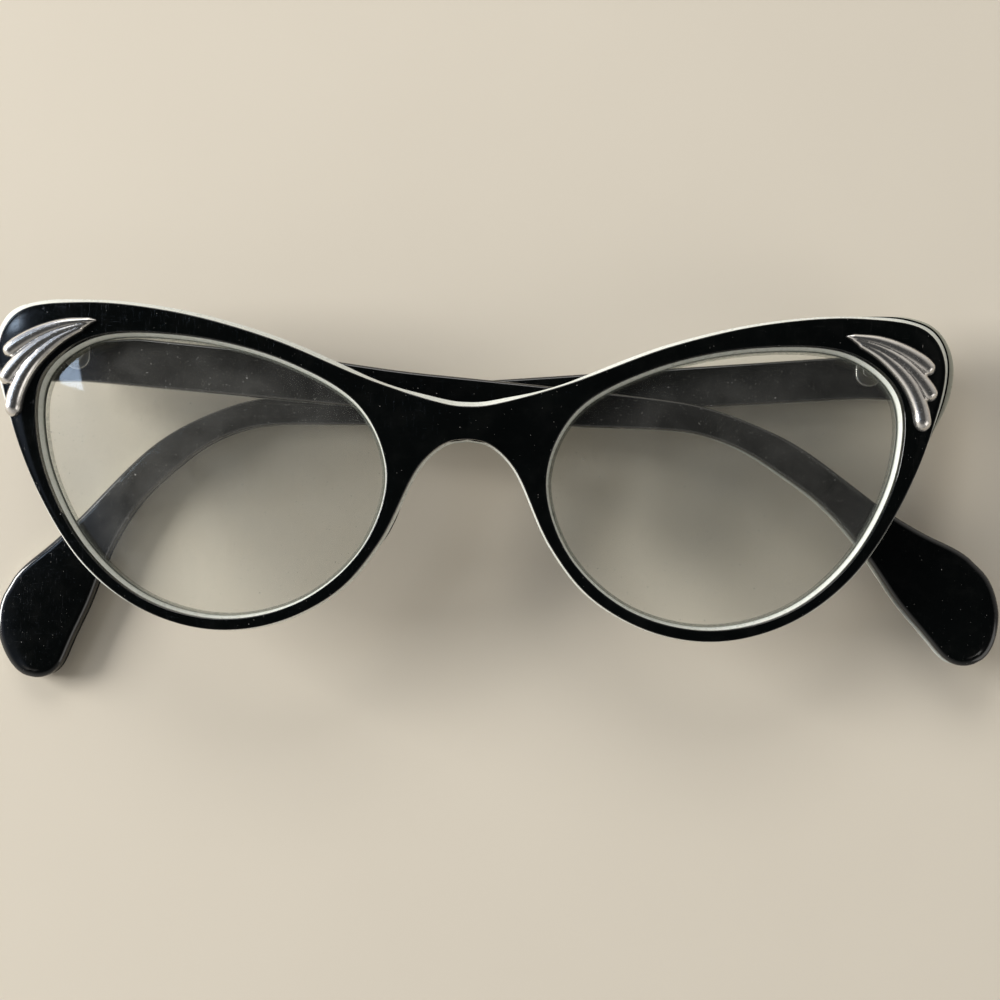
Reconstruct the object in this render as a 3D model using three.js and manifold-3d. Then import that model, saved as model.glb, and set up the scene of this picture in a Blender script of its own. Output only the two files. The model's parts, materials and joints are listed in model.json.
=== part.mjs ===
// Cat-eye spectacle frame with folded temples, in millimetres, +Z up from the table it lies on.
// Everything is drawn in the front's own frame first: +X to the side, +Y towards the brow, +Z out of
// the front's face, with the origin on the face at the middle of the bridge. The whole group is then
// turned until the right temple's outer face lies flat on z = 0, as it does on a table.
import * as THREE from 'three';
import Module from 'manifold-3d';

const wasm = await Module();
wasm.setup();

const DEG = Math.PI / 180;

// ---- driving dimensions: laminated front ----
const BOW_RADIUS = 840;          // the front is bent to this radius, ends backwards
const BLACK_PLY = 1.4;           // front sheet: black face, white core, black back
const WHITE_PLY = 1.3;
const BACK_PLY = 1.1;
const PLY_GAP = 0.03;            // glue line between sheets
const BACK_GAP = 0.15;           // what is glued to the faceted back stands this far off it
const FACE_ROUND = 0.35;         // rounding of the black face's edge
// white ply shown round the outside: least below, with shares added where the edge faces the brow
// or the side, and at the upper corners; the brow's share thins either side of the bridge
const BEVEL = {
  least: 0.2, bridge: 0.6, brow: { left: 0.52, right: 0.42 }, side: { left: 0.55, right: 0.35 }, corner: 0.3,
};
const BRIDGE_X = [4, 14];
const BROW_DIP = { x: 11, reach: 5, share: 0.5 };
const CORNER_X = [50, 60];       // the corners' share comes in over these
const CORNER_Y = [4, 14];
const BACK_LEDGE = { left: 0, right: 0.25 };   // back ply's edge past the white ply at the corners
const RIM_BEVEL = 0.4;           // white ply shown round each lens
const RIM_LEDGE = 0.38;         // back ply's lip, from the black edge
const GROOVE_DEPTH = 0.6;        // lens groove in the back ply
const FRONT_THICKNESS = BLACK_PLY + WHITE_PLY + BACK_PLY;
const OUTLINE_POINTS = 150;
const RIM_POINTS = 56;
const BRIDGE_TOP = 9.5;
const NOSE_ARCH = 5.15;

// right half of the front's outline, from the bridge round the endpiece to the nose arch
const HALF_OUTLINE = [
  [2.4, 9.65], [12.6, 12.6], [26.9, 18.2], [39.9, 21.5], [52.3, 22.6], [61.1, 21.2], [63.6, 17.1],
  [61.9, 7.7], [57.1, -3.7], [50.9, -12.5], [43.2, -18.2], [34.1, -20.8], [25.1, -19.8],
  [16.8, -15.4], [11.3, -8.7], [6.1, 1.8], [2.7, 4.7],
];
// right lens opening, anticlockwise from its nose side
const RIM_OPENING = [
  [10.6, 0.3], [13.5, -9.5], [21.5, -16.8], [32.4, -19.4], [43.4, -16.6], [52.1, -8.9],
  [57.6, 2.9], [57.5, 12.5], [51.4, 17.7], [38.9, 18.4], [24.2, 15.0], [14.2, 9.0],
];

// ---- endpiece blocks, which thicken the front behind each wing ----
const BLOCK_THICKNESS = 1.2;
// how far each block shows past the back ply at its corner
const BLOCK_OVERHANG = { left: 0.4, right: 1.0 };
const BLOCK_STEPS = 18;
const BLOCK_SWELL_POWER = 1.6;   // moves the most overhang down the side
const BLOCK_POCKET_RADIUS = 0.4;
const BLOCK_OUTER_SPAN = [[51.0, 22.6], [61.4, 6.4]];
const BLOCK_INNER_EDGE = [[59.0, 9.0], [58.6, 11.8], [57.1, 14.2], [54.7, 16.7], [51.0, 19.0]];

// ---- lenses ----
const LENS_CENTRE = [34.6, 0];
const LENS_EDGE_GAP = 0.1;
const LENS_EDGE_THICKNESS = 1.8;
const LENS_V_WIDTH = 0.9;
const LENS_DOME = 1.3;
const LENS_RINGS = [0.8, 0.5];

// ---- nose pads ----
const PAD_HEIGHTS = [0.15, 1.6, 2.6];
const PAD_SCALES = [1, 0.86, 0.45];
const PAD_MIDDLE = [10.3, -4.2];
const PAD_HALF_LENGTH = 5.2;
const PAD_HALF_WIDTH = 1.25;
const PAD_LEAN = -20 * DEG;
const PAD_POINTS = 16;

// ---- wing ornaments: each feather is a centre line with half widths ----
const WING_LIFT = 0.05;
const WING_EDGE_HEIGHT = 0.46;   // crown of a feather as its width runs out
const WING_CROWN = 0.69;         // added crown per mm of half width
const FEATHER_ROUND = 0.12;      // share of a feather's length that rounds off its far end
const FEATHERS = [
  { line: [[50.1, 20.1], [54.2, 19.6], [57.7, 18.4], [60.5, 16.8], [61.9, 15.5]],
    half: [0.35, 0.8, 1.0, 1.1, 0.9] },
  { line: [[50.7, 19.8], [55.0, 18.4], [58.6, 16.1], [60.9, 13.6], [62.0, 11.9]],
    half: [0.35, 0.75, 1.0, 1.15, 1.0] },
  { line: [[51.3, 19.5], [55.2, 17.4], [58.5, 14.2], [60.2, 10.8], [60.7, 7.7]],
    half: [0.35, 0.8, 1.05, 1.15, 1.2] },
];
const WING_GROWTH = { left: 1.06, right: 1 };   // size about the tip
const FEATHER_STEPS = 12;
const FEATHER_SIDES = 6;

// ---- pins, rivets and hinges ----
const PIN_RADIUS = 0.55;
const PIN_CLEARANCE = 0.1;
const PIN_SIDES = 10;
const WING_PINS = { upper: [60.5, 16.9], lower: [59.6, 12.4] };
const HINGE_X = 58.3;            // hinge axis, from the middle of the front
const HINGE_DROP = 2.0;          // hinge axis behind the endpiece block
const HINGE_Y = 16.5;
const KNUCKLE_RADIUS = 1.25;
const KNUCKLE_LENGTH = 0.72;
const KNUCKLE_GAP = 0.08;
const KNUCKLES = 5;
const SCREW_RADIUS = 0.6;
const SCREW_HOLE = 0.68;
const SCREW_HEAD = 1.15;
const SCREW_HEAD_HEIGHT = 0.65;
const SCREW_TAIL = 0.4;
const SCREW_SLOT = 0.3;
const SCREW_SIDES = 16;
const LEAF_THICKNESS = 0.8;
const LEAF_HEIGHT = 4.0;
const LEAF_CORNER = { front: 0.4, temple: 1.6 };
const FRONT_LEAF_X = [57.5, 62.3];
const LEAF_POCKET_GAP = 0.1;
const NECK_HALF_WIDTH = 0.75;
const TEMPLE_LEAF_U = [1.5, 5.0];
const TEMPLE_RIVET_U = 3.4;

// ---- temples: u runs from the hinge axis along the temple, lengths are along its centre line ----
const TEMPLE_LENGTH = 141.7;     // five and a half inches and part of the tip's round
const TEMPLE_OFFSET = 1.4;       // inner face from the hinge axis
const TEMPLE_BUTT = 1.35;        // butt end past the hinge axis
const TEMPLE_PLIES = { inner: 1.5, white: 1.1, outer: 1.0 };
const TEMPLE_EDGE_ROUND = 0.35;
const TEMPLE_BEVEL = 0.55;       // outer face's edge, inside the inner face's
const WHITE_BEVEL = 0.08;        // the white ply's part of that
const TEMPLE_SLOPE = 4.5 * DEG;
const TEMPLE_START_Y = 16.2;
const BEND_START = 87.1;
const BEND_END = 107;
const TEMPLE_STEP = 2.6;         // between stations round the bend
const STRAIGHT_STEP = 12.8;      // between stations along the straight
const STRAIGHT = [6, 66];
// the tip's round end above and below the centre line: its length and its squareness
const TIP = { above: { round: 4.8, power: 1.8 }, below: { round: 5.1, power: 3.15 } };
// length along the temple, half width there above and below the centre line
const TEMPLE_WIDTHS = [
  [0, 3.5, 3.5], [3, 3.05, 3.05], [12, 2.95, 2.95], [45, 2.75, 2.75], [72, 2.6, 2.6],
  [88, 2.23, 1.74], [96, 1.7, 2.12], [104, 1.7, 2.9], [111, 1.7, 3.0], [118, 2.3, 3.63],
  [124, 4.05, 4.45], [129, 6.48, 4.89], [134, 7.06, 4.5], [139, 5.1, 3.94], [143, 4.4, 3.6],
];
const HUMP = { rise: [5, 12], fall: [28, 52] };   // where a temple's upper edge stands higher
const TEMPLES = {
  left: { side: -1, fold: 1.7 * DEG, bend: 35.4 * DEG, sweep: 26 * DEG, hump: 0.8 },
  right: { side: 1, fold: 2.05 * DEG, bend: 44 * DEG, sweep: 37.5 * DEG, hump: 0 },
};

const SIDES = { left: -1, right: 1 };

// ---- materials ----
function standard(color, roughness, metalness) {
  return new THREE.MeshStandardMaterial({ color, roughness, metalness });
}
const blackAcetate = () => standard(0x0b0b0d, 0.12, 0);
const whiteAcetate = () => standard(0xe9e8e1, 0.25, 0);
const paleAcetate = () => standard(0xc9c8bc, 0.3, 0);
const lensGlass = () => standard(0xeef4f4, 0.03, 0);
const polishedSilver = () => standard(0xc8c4bf, 0.18, 1);
const nickel = () => standard(0xa9a79f, 0.3, 1);
const screwSteel = () => standard(0x8f8e8a, 0.35, 1);

// ---- outlines: plain arrays of [x, y] ----
function smoothLoop(points, count) {
  const curve = new THREE.CatmullRomCurve3(points.map(([x, y]) => new THREE.Vector3(x, y, 0)), true);
  curve.arcLengthDivisions = 2000;
  return curve.getSpacedPoints(count).slice(0, count).map((p) => [p.x, p.y]);
}

function signedArea(loop) {
  return loop.reduce((sum, [x, y], i) => {
    const [nx, ny] = loop[(i + 1) % loop.length];
    return sum + (x * ny - nx * y) / 2;
  }, 0);
}

function wound(loop, anticlockwise) {
  return signedArea(loop) > 0 === anticlockwise ? loop : [...loop].reverse();
}

// moves each point of an anticlockwise loop outwards by distance (a number or a function of i)
function offsetLoop(loop, distance) {
  const n = loop.length;
  return loop.map(([x, y], i) => {
    const [ax, ay] = loop[(i + n - 1) % n];
    const [bx, by] = loop[(i + 1) % n];
    const length = Math.hypot(bx - ax, by - ay);
    const d = typeof distance === 'function' ? distance(i) : distance;
    return [x + ((by - ay) / length) * d, y - ((bx - ax) / length) * d];
  });
}

function flipped(loop, side) {
  return wound(loop.map(([x, y]) => [x * side, y]), true);
}

function circle(cx, cy, radius, count) {
  return Array.from({ length: count }, (_, i) => {
    const angle = (2 * Math.PI * i) / count;
    return [cx + radius * Math.cos(angle), cy + radius * Math.sin(angle)];
  });
}

function roundedBox([x0, x1], [y0, y1], radius) {
  const corners = [[x1, y1, 0], [x0, y1, 1], [x0, y0, 2], [x1, y0, 3]];
  return corners.flatMap(([x, y, quarter]) => [0, 0.5, 1].map((t) => {
    const angle = (quarter + t) * Math.PI / 2;
    const cx = x + (x === x1 ? -radius : radius);
    const cy = y + (y === y1 ? -radius : radius);
    return [cx + radius * Math.cos(angle), cy + radius * Math.sin(angle)];
  }));
}

const mirroredHalf = [...HALF_OUTLINE].reverse().map(([x, y]) => [-x, y]);
const frontOutline = wound(
  smoothLoop([[0, BRIDGE_TOP], ...HALF_OUTLINE, [0, NOSE_ARCH], ...mirroredHalf], OUTLINE_POINTS), true);
const rimOpening = wound(smoothLoop(RIM_OPENING, RIM_POINTS), true);

// ---- solids ----
function indexedGeometry(positions, indices) {
  const geometry = new THREE.BufferGeometry();
  geometry.setAttribute('position', new THREE.Float32BufferAttribute(positions.flat(), 3));
  geometry.setIndex(indices);
  return geometry;
}

// a closed plate through matching levels, each { z, outline, holes }, from the lowest to the highest;
// plates with the same template have matching caps, so they stay in touch when they are bent
function plate(levels, template = null) {
  const loops = (level) => [wound(level.outline, true), ...level.holes.map((h) => wound(h, false))];
  const positions = levels.flatMap((level) => loops(level).flat().map(([x, y]) => [x, y, level.z]));
  const perLevel = positions.length / levels.length;
  const indices = [];
  const cap = (level, offset, up) => {
    const [outline, ...holes] = loops(template ?? level)
      .map((loop) => loop.map(([x, y]) => new THREE.Vector2(x, y)));
    const triangles = THREE.ShapeUtils.triangulateShape(outline, holes);
    for (const [a, b, c] of triangles) {
      indices.push(...(up ? [a, b, c] : [a, c, b]).map((i) => i + offset));
    }
  };
  cap(levels[0], 0, false);
  cap(levels.at(-1), perLevel * (levels.length - 1), true);
  for (let k = 0; k + 1 < levels.length; k += 1) {
    let start = k * perLevel;
    for (const loop of loops(levels[k])) {
      loop.forEach((_, i) => {
        const a = start + i;
        const b = start + ((i + 1) % loop.length);
        indices.push(a, b, b + perLevel, a, b + perLevel, a + perLevel);
      });
      start += loop.length;
    }
  }
  return indexedGeometry(positions, indices);
}

// a closed tube through rings of equal length, with flat ends; rings run anticlockwise seen from the end
function loft(rings) {
  const n = rings[0].length;
  const indices = [];
  for (let k = 0; k + 1 < rings.length; k += 1) {
    for (let i = 0; i < n; i += 1) {
      const a = k * n + i;
      const b = k * n + ((i + 1) % n);
      indices.push(a, b, b + n, a, b + n, a + n);
    }
  }
  const last = (rings.length - 1) * n;
  for (let i = 1; i + 1 < n; i += 1) {
    indices.push(0, i + 1, i);
    indices.push(last, last + i, last + i + 1);
  }
  return indexedGeometry(rings.flat(), indices);
}

function bowDepth(x) {
  return -(x * x) / (2 * BOW_RADIUS);
}

function bend(geometry) {
  const p = geometry.attributes.position;
  for (let i = 0; i < p.count; i += 1) p.setZ(i, p.getZ(i) + bowDepth(p.getX(i)));
  return geometry;
}

function toManifold(geometry) {
  const p = geometry.attributes.position;
  const mesh = new wasm.Mesh({
    numProp: 3,
    vertProperties: Float32Array.from(p.array),
    triVerts: Uint32Array.from(geometry.index.array),
  });
  mesh.merge();
  return new wasm.Manifold(mesh);
}

function fromManifold(solid) {
  const mesh = solid.getMesh();
  const geometry = new THREE.BufferGeometry();
  geometry.setAttribute('position', new THREE.BufferAttribute(Float32Array.from(mesh.vertProperties), 3));
  geometry.setIndex(new THREE.BufferAttribute(Uint32Array.from(mesh.triVerts), 1));
  return geometry;
}

function union(geometries) {
  return geometries.map(toManifold).reduce((sum, solid) => sum.add(solid));
}

function box([x0, x1], [y0, y1], [z0, z1]) {
  const outline = [[x0, y0], [x1, y0], [x1, y1], [x0, y1]];
  return plate([{ z: z0, outline, holes: [] }, { z: z1, outline, holes: [] }]);
}

// a many-sided bar along Y
function barAlongY(x, z, radius, [y0, y1], sides) {
  const ring = (y) => circle(x, z, radius, sides).map(([cx, cz]) => [cx, y, cz]);
  return loft([ring(y1), ring(y0)]);
}

function named(name, geometry, material) {
  const mesh = new THREE.Mesh(geometry, material);
  mesh.name = name;
  return mesh;
}

// ---- the laminated front ----
function pinHoles() {
  const spots = Object.values(SIDES).flatMap((side) => (
    Object.values(WING_PINS).map(([x, y]) => [x * side, y])));
  return spots.map(([x, y]) => circle(x, y, PIN_RADIUS + PIN_CLEARANCE, PIN_SIDES));
}

function cornerShare(i) {
  const [x, y] = frontOutline[i];
  const { smoothstep } = THREE.MathUtils;
  return smoothstep(Math.abs(x), ...CORNER_X) * smoothstep(y, ...CORNER_Y);
}

// how far the outline faces the brow and its own side at point i, each from -1 to 1
function facing(i) {
  const n = frontOutline.length;
  const [ax, ay] = frontOutline[(i + n - 1) % n];
  const [bx, by] = frontOutline[(i + 1) % n];
  const length = Math.hypot(bx - ax, by - ay);
  return { brow: (ax - bx) / length, side: ((by - ay) / length) * Math.sign(frontOutline[i][0]) };
}

function bevelWidth(i) {
  const { brow, side } = facing(i);
  const [x] = frontOutline[i];
  const half = x < 0 ? 'left' : 'right';
  const { smoothstep, lerp } = THREE.MathUtils;
  const dip = BROW_DIP.share * Math.exp(-(((Math.abs(x) - BROW_DIP.x) / BROW_DIP.reach) ** 2));
  const most = lerp(BEVEL.bridge, BEVEL.brow[half], smoothstep(Math.abs(x), ...BRIDGE_X));
  const upper = most * (1 - dip) * smoothstep(brow, -0.4, 0.6);
  const lateral = BEVEL.side[half] * smoothstep(side, 0.2, 0.8);
  return BEVEL.least + upper + lateral + BEVEL.corner * cornerShare(i);
}

function backEdge(i) {
  return bevelWidth(i) + BACK_LEDGE[frontOutline[i][0] < 0 ? 'left' : 'right'] * cornerShare(i);
}

function frontLevel(z, outward, inward) {
  const rims = Object.values(SIDES).map((side) => flipped(offsetLoop(rimOpening, -inward), side));
  return { z, outline: offsetLoop(frontOutline, outward), holes: [...rims, ...pinHoles()] };
}

function frontPlies() {
  const blackBottom = -BLACK_PLY;
  const whiteTop = blackBottom - PLY_GAP;
  const whiteBottom = blackBottom - WHITE_PLY;
  const backTop = whiteBottom - PLY_GAP;
  const backBottom = -FRONT_THICKNESS;
  const grooveMiddle = (backTop + backBottom) / 2;
  const template = frontLevel(0, bevelWidth, RIM_BEVEL);
  const black = plate([
    frontLevel(blackBottom, 0, 0),
    frontLevel(-FACE_ROUND, 0, 0),
    frontLevel(0, -FACE_ROUND, -FACE_ROUND),
  ], template);
  const white = plate([
    frontLevel(whiteBottom, bevelWidth, RIM_BEVEL),
    frontLevel(whiteTop, 0, 0),
  ], template);
  const back = plate([
    frontLevel(backBottom, (i) => backEdge(i) - FACE_ROUND, RIM_LEDGE),
    frontLevel(grooveMiddle, backEdge, RIM_LEDGE - GROOVE_DEPTH),
    frontLevel(backTop, backEdge, RIM_LEDGE),
  ], template);
  return [
    named('front_black_ply', bend(black), blackAcetate()),
    named('front_white_ply', bend(white), whiteAcetate()),
    named('front_back_ply', bend(back), blackAcetate()),
  ];
}

function endpieceBlockOutline(name) {
  const side = SIDES[name];
  const away = (p, x, y) => Math.hypot(p[0] - x * side, p[1] - y);
  const nearest = ([x, y]) => frontOutline.reduce((best, p, i) => (
    away(p, x, y) < away(frontOutline[best], x, y) ? i : best), 0);
  const outer = offsetLoop(frontOutline, backEdge);
  const grown = offsetLoop(frontOutline, (i) => backEdge(i) + BLOCK_OVERHANG[name]);
  const [last, first] = BLOCK_OUTER_SPAN.map(nearest);
  const edge = [];
  for (let step = 0; step <= BLOCK_STEPS; step += 1) {
    const i = Math.round(first + ((last - first) * step) / BLOCK_STEPS);
    const swell = Math.sin(Math.PI * (1 - step / BLOCK_STEPS) ** BLOCK_SWELL_POWER);
    const blend = (a, b) => a + (b - a) * swell;
    edge.push([blend(outer[i][0], grown[i][0]), blend(outer[i][1], grown[i][1])]);
  }
  return [...edge, ...BLOCK_INNER_EDGE.map(([x, y]) => [x * side, y]).reverse()];
}

function endpieceBlock(name, side) {
  const top = -FRONT_THICKNESS - BACK_GAP;
  const bottom = -FRONT_THICKNESS - BLOCK_THICKNESS;
  const outline = endpieceBlockOutline(name);
  const [x0, x1] = FRONT_LEAF_X;
  const gap = LEAF_POCKET_GAP;
  const half = LEAF_HEIGHT / 2 + gap;
  const pocket = roundedBox([x0 - gap, x1 + gap], [HINGE_Y - half, HINGE_Y + half], BLOCK_POCKET_RADIUS);
  const [px, py] = WING_PINS.lower;
  const holes = [flipped(pocket, side), circle(px * side, py, PIN_RADIUS + PIN_CLEARANCE, PIN_SIDES)];
  const geometry = plate([{ z: bottom, outline, holes }, { z: top, outline, holes }]);
  return named(`${name}_endpiece_block`, bend(geometry), paleAcetate());
}

// ---- lenses ----
function lens(name, side) {
  const grooveZ = -BLACK_PLY - WHITE_PLY - BACK_PLY / 2;
  const apex = offsetLoop(rimOpening, GROOVE_DEPTH - RIM_LEDGE - LENS_EDGE_GAP);
  const shoulder = offsetLoop(rimOpening, -RIM_LEDGE - 2 * LENS_EDGE_GAP);
  const [cx, cy] = LENS_CENTRE;
  const scaled = (loop, t) => loop.map(([x, y]) => [cx + (x - cx) * t, cy + (y - cy) * t]);
  const ring = (loop, t, z) => flipped(scaled(loop, t), side)
    .map(([x, y]) => [x, y, z + LENS_DOME * (1 - t * t)]);
  const halfEdge = LENS_EDGE_THICKNESS / 2;
  const halfV = LENS_V_WIDTH / 2;
  const rings = [
    ...[...LENS_RINGS].reverse().map((t) => ring(shoulder, t, grooveZ - halfEdge)),
    ring(shoulder, 1, grooveZ - halfEdge),
    ring(shoulder, 1, grooveZ - halfV),
    ring(apex, 1, grooveZ),
    ring(shoulder, 1, grooveZ + halfV),
    ring(shoulder, 1, grooveZ + halfEdge),
    ...LENS_RINGS.map((t) => ring(shoulder, t, grooveZ + halfEdge)),
  ];
  return named(`${name}_lens`, bend(lensSkin(rings, side)), lensGlass());
}

// joins the lens rings and closes both faces to a point at the lens centre
function lensSkin(rings, side) {
  const n = rings[0].length;
  const [cx, cy] = LENS_CENTRE;
  const positions = rings.flat();
  const indices = [];
  for (let k = 0; k + 1 < rings.length; k += 1) {
    for (let i = 0; i < n; i += 1) {
      const a = k * n + i;
      const b = k * n + ((i + 1) % n);
      indices.push(a, b, b + n, a, b + n, a + n);
    }
  }
  const middleZ = (ring) => {
    const edge = LENS_RINGS.at(-1);
    return ring[0][2] + LENS_DOME * edge * edge;
  };
  const back = positions.push([cx * side, cy, middleZ(rings[0])]) - 1;
  const front = positions.push([cx * side, cy, middleZ(rings.at(-1))]) - 1;
  const lastRing = (rings.length - 1) * n;
  for (let i = 0; i < n; i += 1) {
    const j = (i + 1) % n;
    indices.push(back, j, i);
    indices.push(front, lastRing + i, lastRing + j);
  }
  return indexedGeometry(positions, indices);
}

// ---- nose pads ----
function nosePad(name, side) {
  const [mx, my] = PAD_MIDDLE;
  const outline = (scale) => circle(0, 0, 1, PAD_POINTS).map(([c, s]) => {
    const along = c * PAD_HALF_LENGTH * scale;
    const across = s * PAD_HALF_WIDTH * scale;
    const sin = Math.sin(PAD_LEAN);
    const cos = Math.cos(PAD_LEAN);
    return [mx + across * cos + along * sin, my + along * cos - across * sin];
  });
  const levels = PAD_HEIGHTS.map((height, i) => ({
    z: -FRONT_THICKNESS - height, outline: flipped(outline(PAD_SCALES[i]), side), holes: [],
  }));
  return named(`${name}_nose_pad`, bend(plate(levels.reverse())), blackAcetate());
}

// ---- wing ornaments ----
function feather({ line, half }, name) {
  const growth = WING_GROWTH[name];
  const [tipX, tipY] = FEATHERS[0].line[0];
  const grown = ([x, y]) => new THREE.Vector3(
    (tipX + (x - tipX) * growth) * SIDES[name], tipY + (y - tipY) * growth, 0);
  const path = new THREE.CatmullRomCurve3(line.map(grown));
  const rings = Array.from({ length: FEATHER_STEPS + 1 }, (_, step) => {
    // stations crowd together towards the round end
    const t = Math.sin((Math.PI / 2) * (step / FEATHER_STEPS) ** 0.8);
    const centre = path.getPoint(t);
    const tangent = path.getTangent(t);
    const at = t * (half.length - 1);
    const i = Math.min(Math.floor(at), half.length - 2);
    const past = Math.max(0, (t - 1 + FEATHER_ROUND) / FEATHER_ROUND);
    const width = THREE.MathUtils.lerp(half[i], half[i + 1], at - i) * Math.sqrt(1.02 - past * past);
    const crown = (WING_EDGE_HEIGHT + WING_CROWN * width) * (1 - 0.5 * past ** 3);
    return Array.from({ length: FEATHER_SIDES + 1 }, (_, k) => {
      const angle = (Math.PI * k) / FEATHER_SIDES;
      const across = width * Math.cos(angle);
      return [centre.x + tangent.y * across, centre.y - tangent.x * across,
        WING_LIFT + crown * Math.sin(angle)];
    });
  });
  return bend(loft(rings.map((ring) => [...ring].reverse())));
}

function wingOrnament(name) {
  const solid = union(FEATHERS.map((f) => feather(f, name)));
  return named(`${name}_wing_ornament`, fromManifold(solid), polishedSilver());
}

function wingPin(name, which, side) {
  const [x, y] = WING_PINS[which];
  const outline = circle(x * side, y, PIN_RADIUS, PIN_SIDES);
  const depth = FRONT_THICKNESS + BLOCK_THICKNESS;
  const z = bowDepth(x);
  const geometry = plate([{ z: z - depth, outline, holes: [] }, { z: z - WING_LIFT, outline, holes: [] }]);
  return named(`${name}_wing_pin_${which}`, geometry, nickel());
}

// ---- hinges ----
function hingeZ() {
  return bowDepth(HINGE_X) - FRONT_THICKNESS - BLOCK_THICKNESS - HINGE_DROP;
}

// the Y span of knuckle k, counted from the brow side
function knuckleSpan(k) {
  const pitch = KNUCKLE_LENGTH + KNUCKLE_GAP;
  const top = HINGE_Y + (KNUCKLES * pitch - KNUCKLE_GAP) / 2;
  return [top - k * pitch - KNUCKLE_LENGTH, top - k * pitch];
}

function withScrewHole(solid, x, z) {
  const [y0] = knuckleSpan(KNUCKLES - 1);
  const [, y1] = knuckleSpan(0);
  return solid.subtract(toManifold(barAlongY(x, z, SCREW_HOLE, [y0 - 1, y1 + 1], SCREW_SIDES)));
}

function frontLeaf(name, side) {
  const axisX = HINGE_X * side;
  const axisZ = hingeZ();
  const backZ = axisZ + HINGE_DROP;
  const outline = flipped(roundedBox(FRONT_LEAF_X,
    [HINGE_Y - LEAF_HEIGHT / 2, HINGE_Y + LEAF_HEIGHT / 2], LEAF_CORNER.front), side);
  const [px, py] = WING_PINS.upper;
  const hole = [circle(px * side, py, PIN_RADIUS + PIN_CLEARANCE, PIN_SIDES)];
  const pieces = [plate([
    { z: backZ, outline, holes: hole },
    { z: backZ + LEAF_THICKNESS, outline, holes: hole },
  ])];
  for (let k = 0; k < KNUCKLES; k += 2) {
    const span = knuckleSpan(k);
    pieces.push(barAlongY(axisX, axisZ, KNUCKLE_RADIUS, span, SCREW_SIDES));
    const neckTop = backZ + LEAF_THICKNESS / 2;
    pieces.push(box([axisX - NECK_HALF_WIDTH, axisX + NECK_HALF_WIDTH], span, [axisZ, neckTop]));
  }
  const solid = withScrewHole(union(pieces), axisX, axisZ);
  return named(`${name}_hinge_front_leaf`, fromManifold(solid), nickel());
}

function hingeScrew(name, side) {
  const [bottom] = knuckleSpan(KNUCKLES - 1);
  const [, top] = knuckleSpan(0);
  const seat = top + 0.05;
  const crown = seat + SCREW_HEAD_HEIGHT;
  const profile = [
    [SCREW_RADIUS * 0.7, bottom - SCREW_TAIL], [SCREW_RADIUS, bottom - SCREW_TAIL / 2],
    [SCREW_RADIUS, seat], [SCREW_HEAD, seat], [SCREW_HEAD, crown - SCREW_HEAD_HEIGHT / 3],
    [SCREW_HEAD * 0.8, crown],
  ];
  const rings = profile.map(([r, y]) => (
    circle(HINGE_X * side, hingeZ(), r, SCREW_SIDES).map(([x, z]) => [x, y, z])));
  const x = HINGE_X * side;
  const slot = box([x - SCREW_SLOT / 2, x + SCREW_SLOT / 2], [crown - SCREW_SLOT, crown + SCREW_SLOT],
    [hingeZ() - 2 * SCREW_HEAD, hingeZ() + 2 * SCREW_HEAD]);
  const solid = toManifold(loft(rings.reverse())).subtract(toManifold(slot));
  return named(`${name}_hinge_screw`, fromManifold(solid), screwSteel());
}

// ---- temples, drawn about their hinge axis with the tip towards -X on the right and +X on the left ----
// the half width between two stations, on a curve whose slope runs on smoothly through each station;
// column 1 is above the centre line and column 2 below it
function halfWidth(distance, column) {
  const last = TEMPLE_WIDTHS.length - 1;
  const i = Math.min(TEMPLE_WIDTHS.findIndex(([d]) => d > distance), last) - 1;
  const slope = (k) => {
    const before = TEMPLE_WIDTHS[Math.max(k - 1, 0)];
    const after = TEMPLE_WIDTHS[Math.min(k + 1, last)];
    return (after[column] - before[column]) / (after[0] - before[0]);
  };
  const w0 = TEMPLE_WIDTHS[i][column];
  const w1 = TEMPLE_WIDTHS[i + 1][column];
  const span = TEMPLE_WIDTHS[i + 1][0] - TEMPLE_WIDTHS[i][0];
  const t = (distance - TEMPLE_WIDTHS[i][0]) / span;
  const rise = w0 * (1 + 2 * t) * (1 - t) ** 2 + w1 * t * t * (3 - 2 * t);
  return rise + slope(i) * span * t * (1 - t) ** 2 - slope(i + 1) * span * t * t * (1 - t);
}

function templeHeading(distance, { bend: bendAngle, sweep }) {
  if (distance < BEND_START) return -TEMPLE_SLOPE;
  if (distance < BEND_END) {
    const t = (distance - BEND_START) / (BEND_END - BEND_START);
    return -TEMPLE_SLOPE - (bendAngle - TEMPLE_SLOPE) * t;
  }
  return -bendAngle - (sweep * (distance - BEND_END)) / (TEMPLE_LENGTH - BEND_END);
}

function tapered(distance, column, { round, power }) {
  const past = Math.max(0, distance - (TEMPLE_LENGTH - round)) / round;
  return halfWidth(distance, column) * Math.sqrt(1 - past ** power);
}

function humpShare(distance) {
  const { smoothstep } = THREE.MathUtils;
  return smoothstep(distance, ...HUMP.rise) * (1 - smoothstep(distance, ...HUMP.fall));
}

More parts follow.
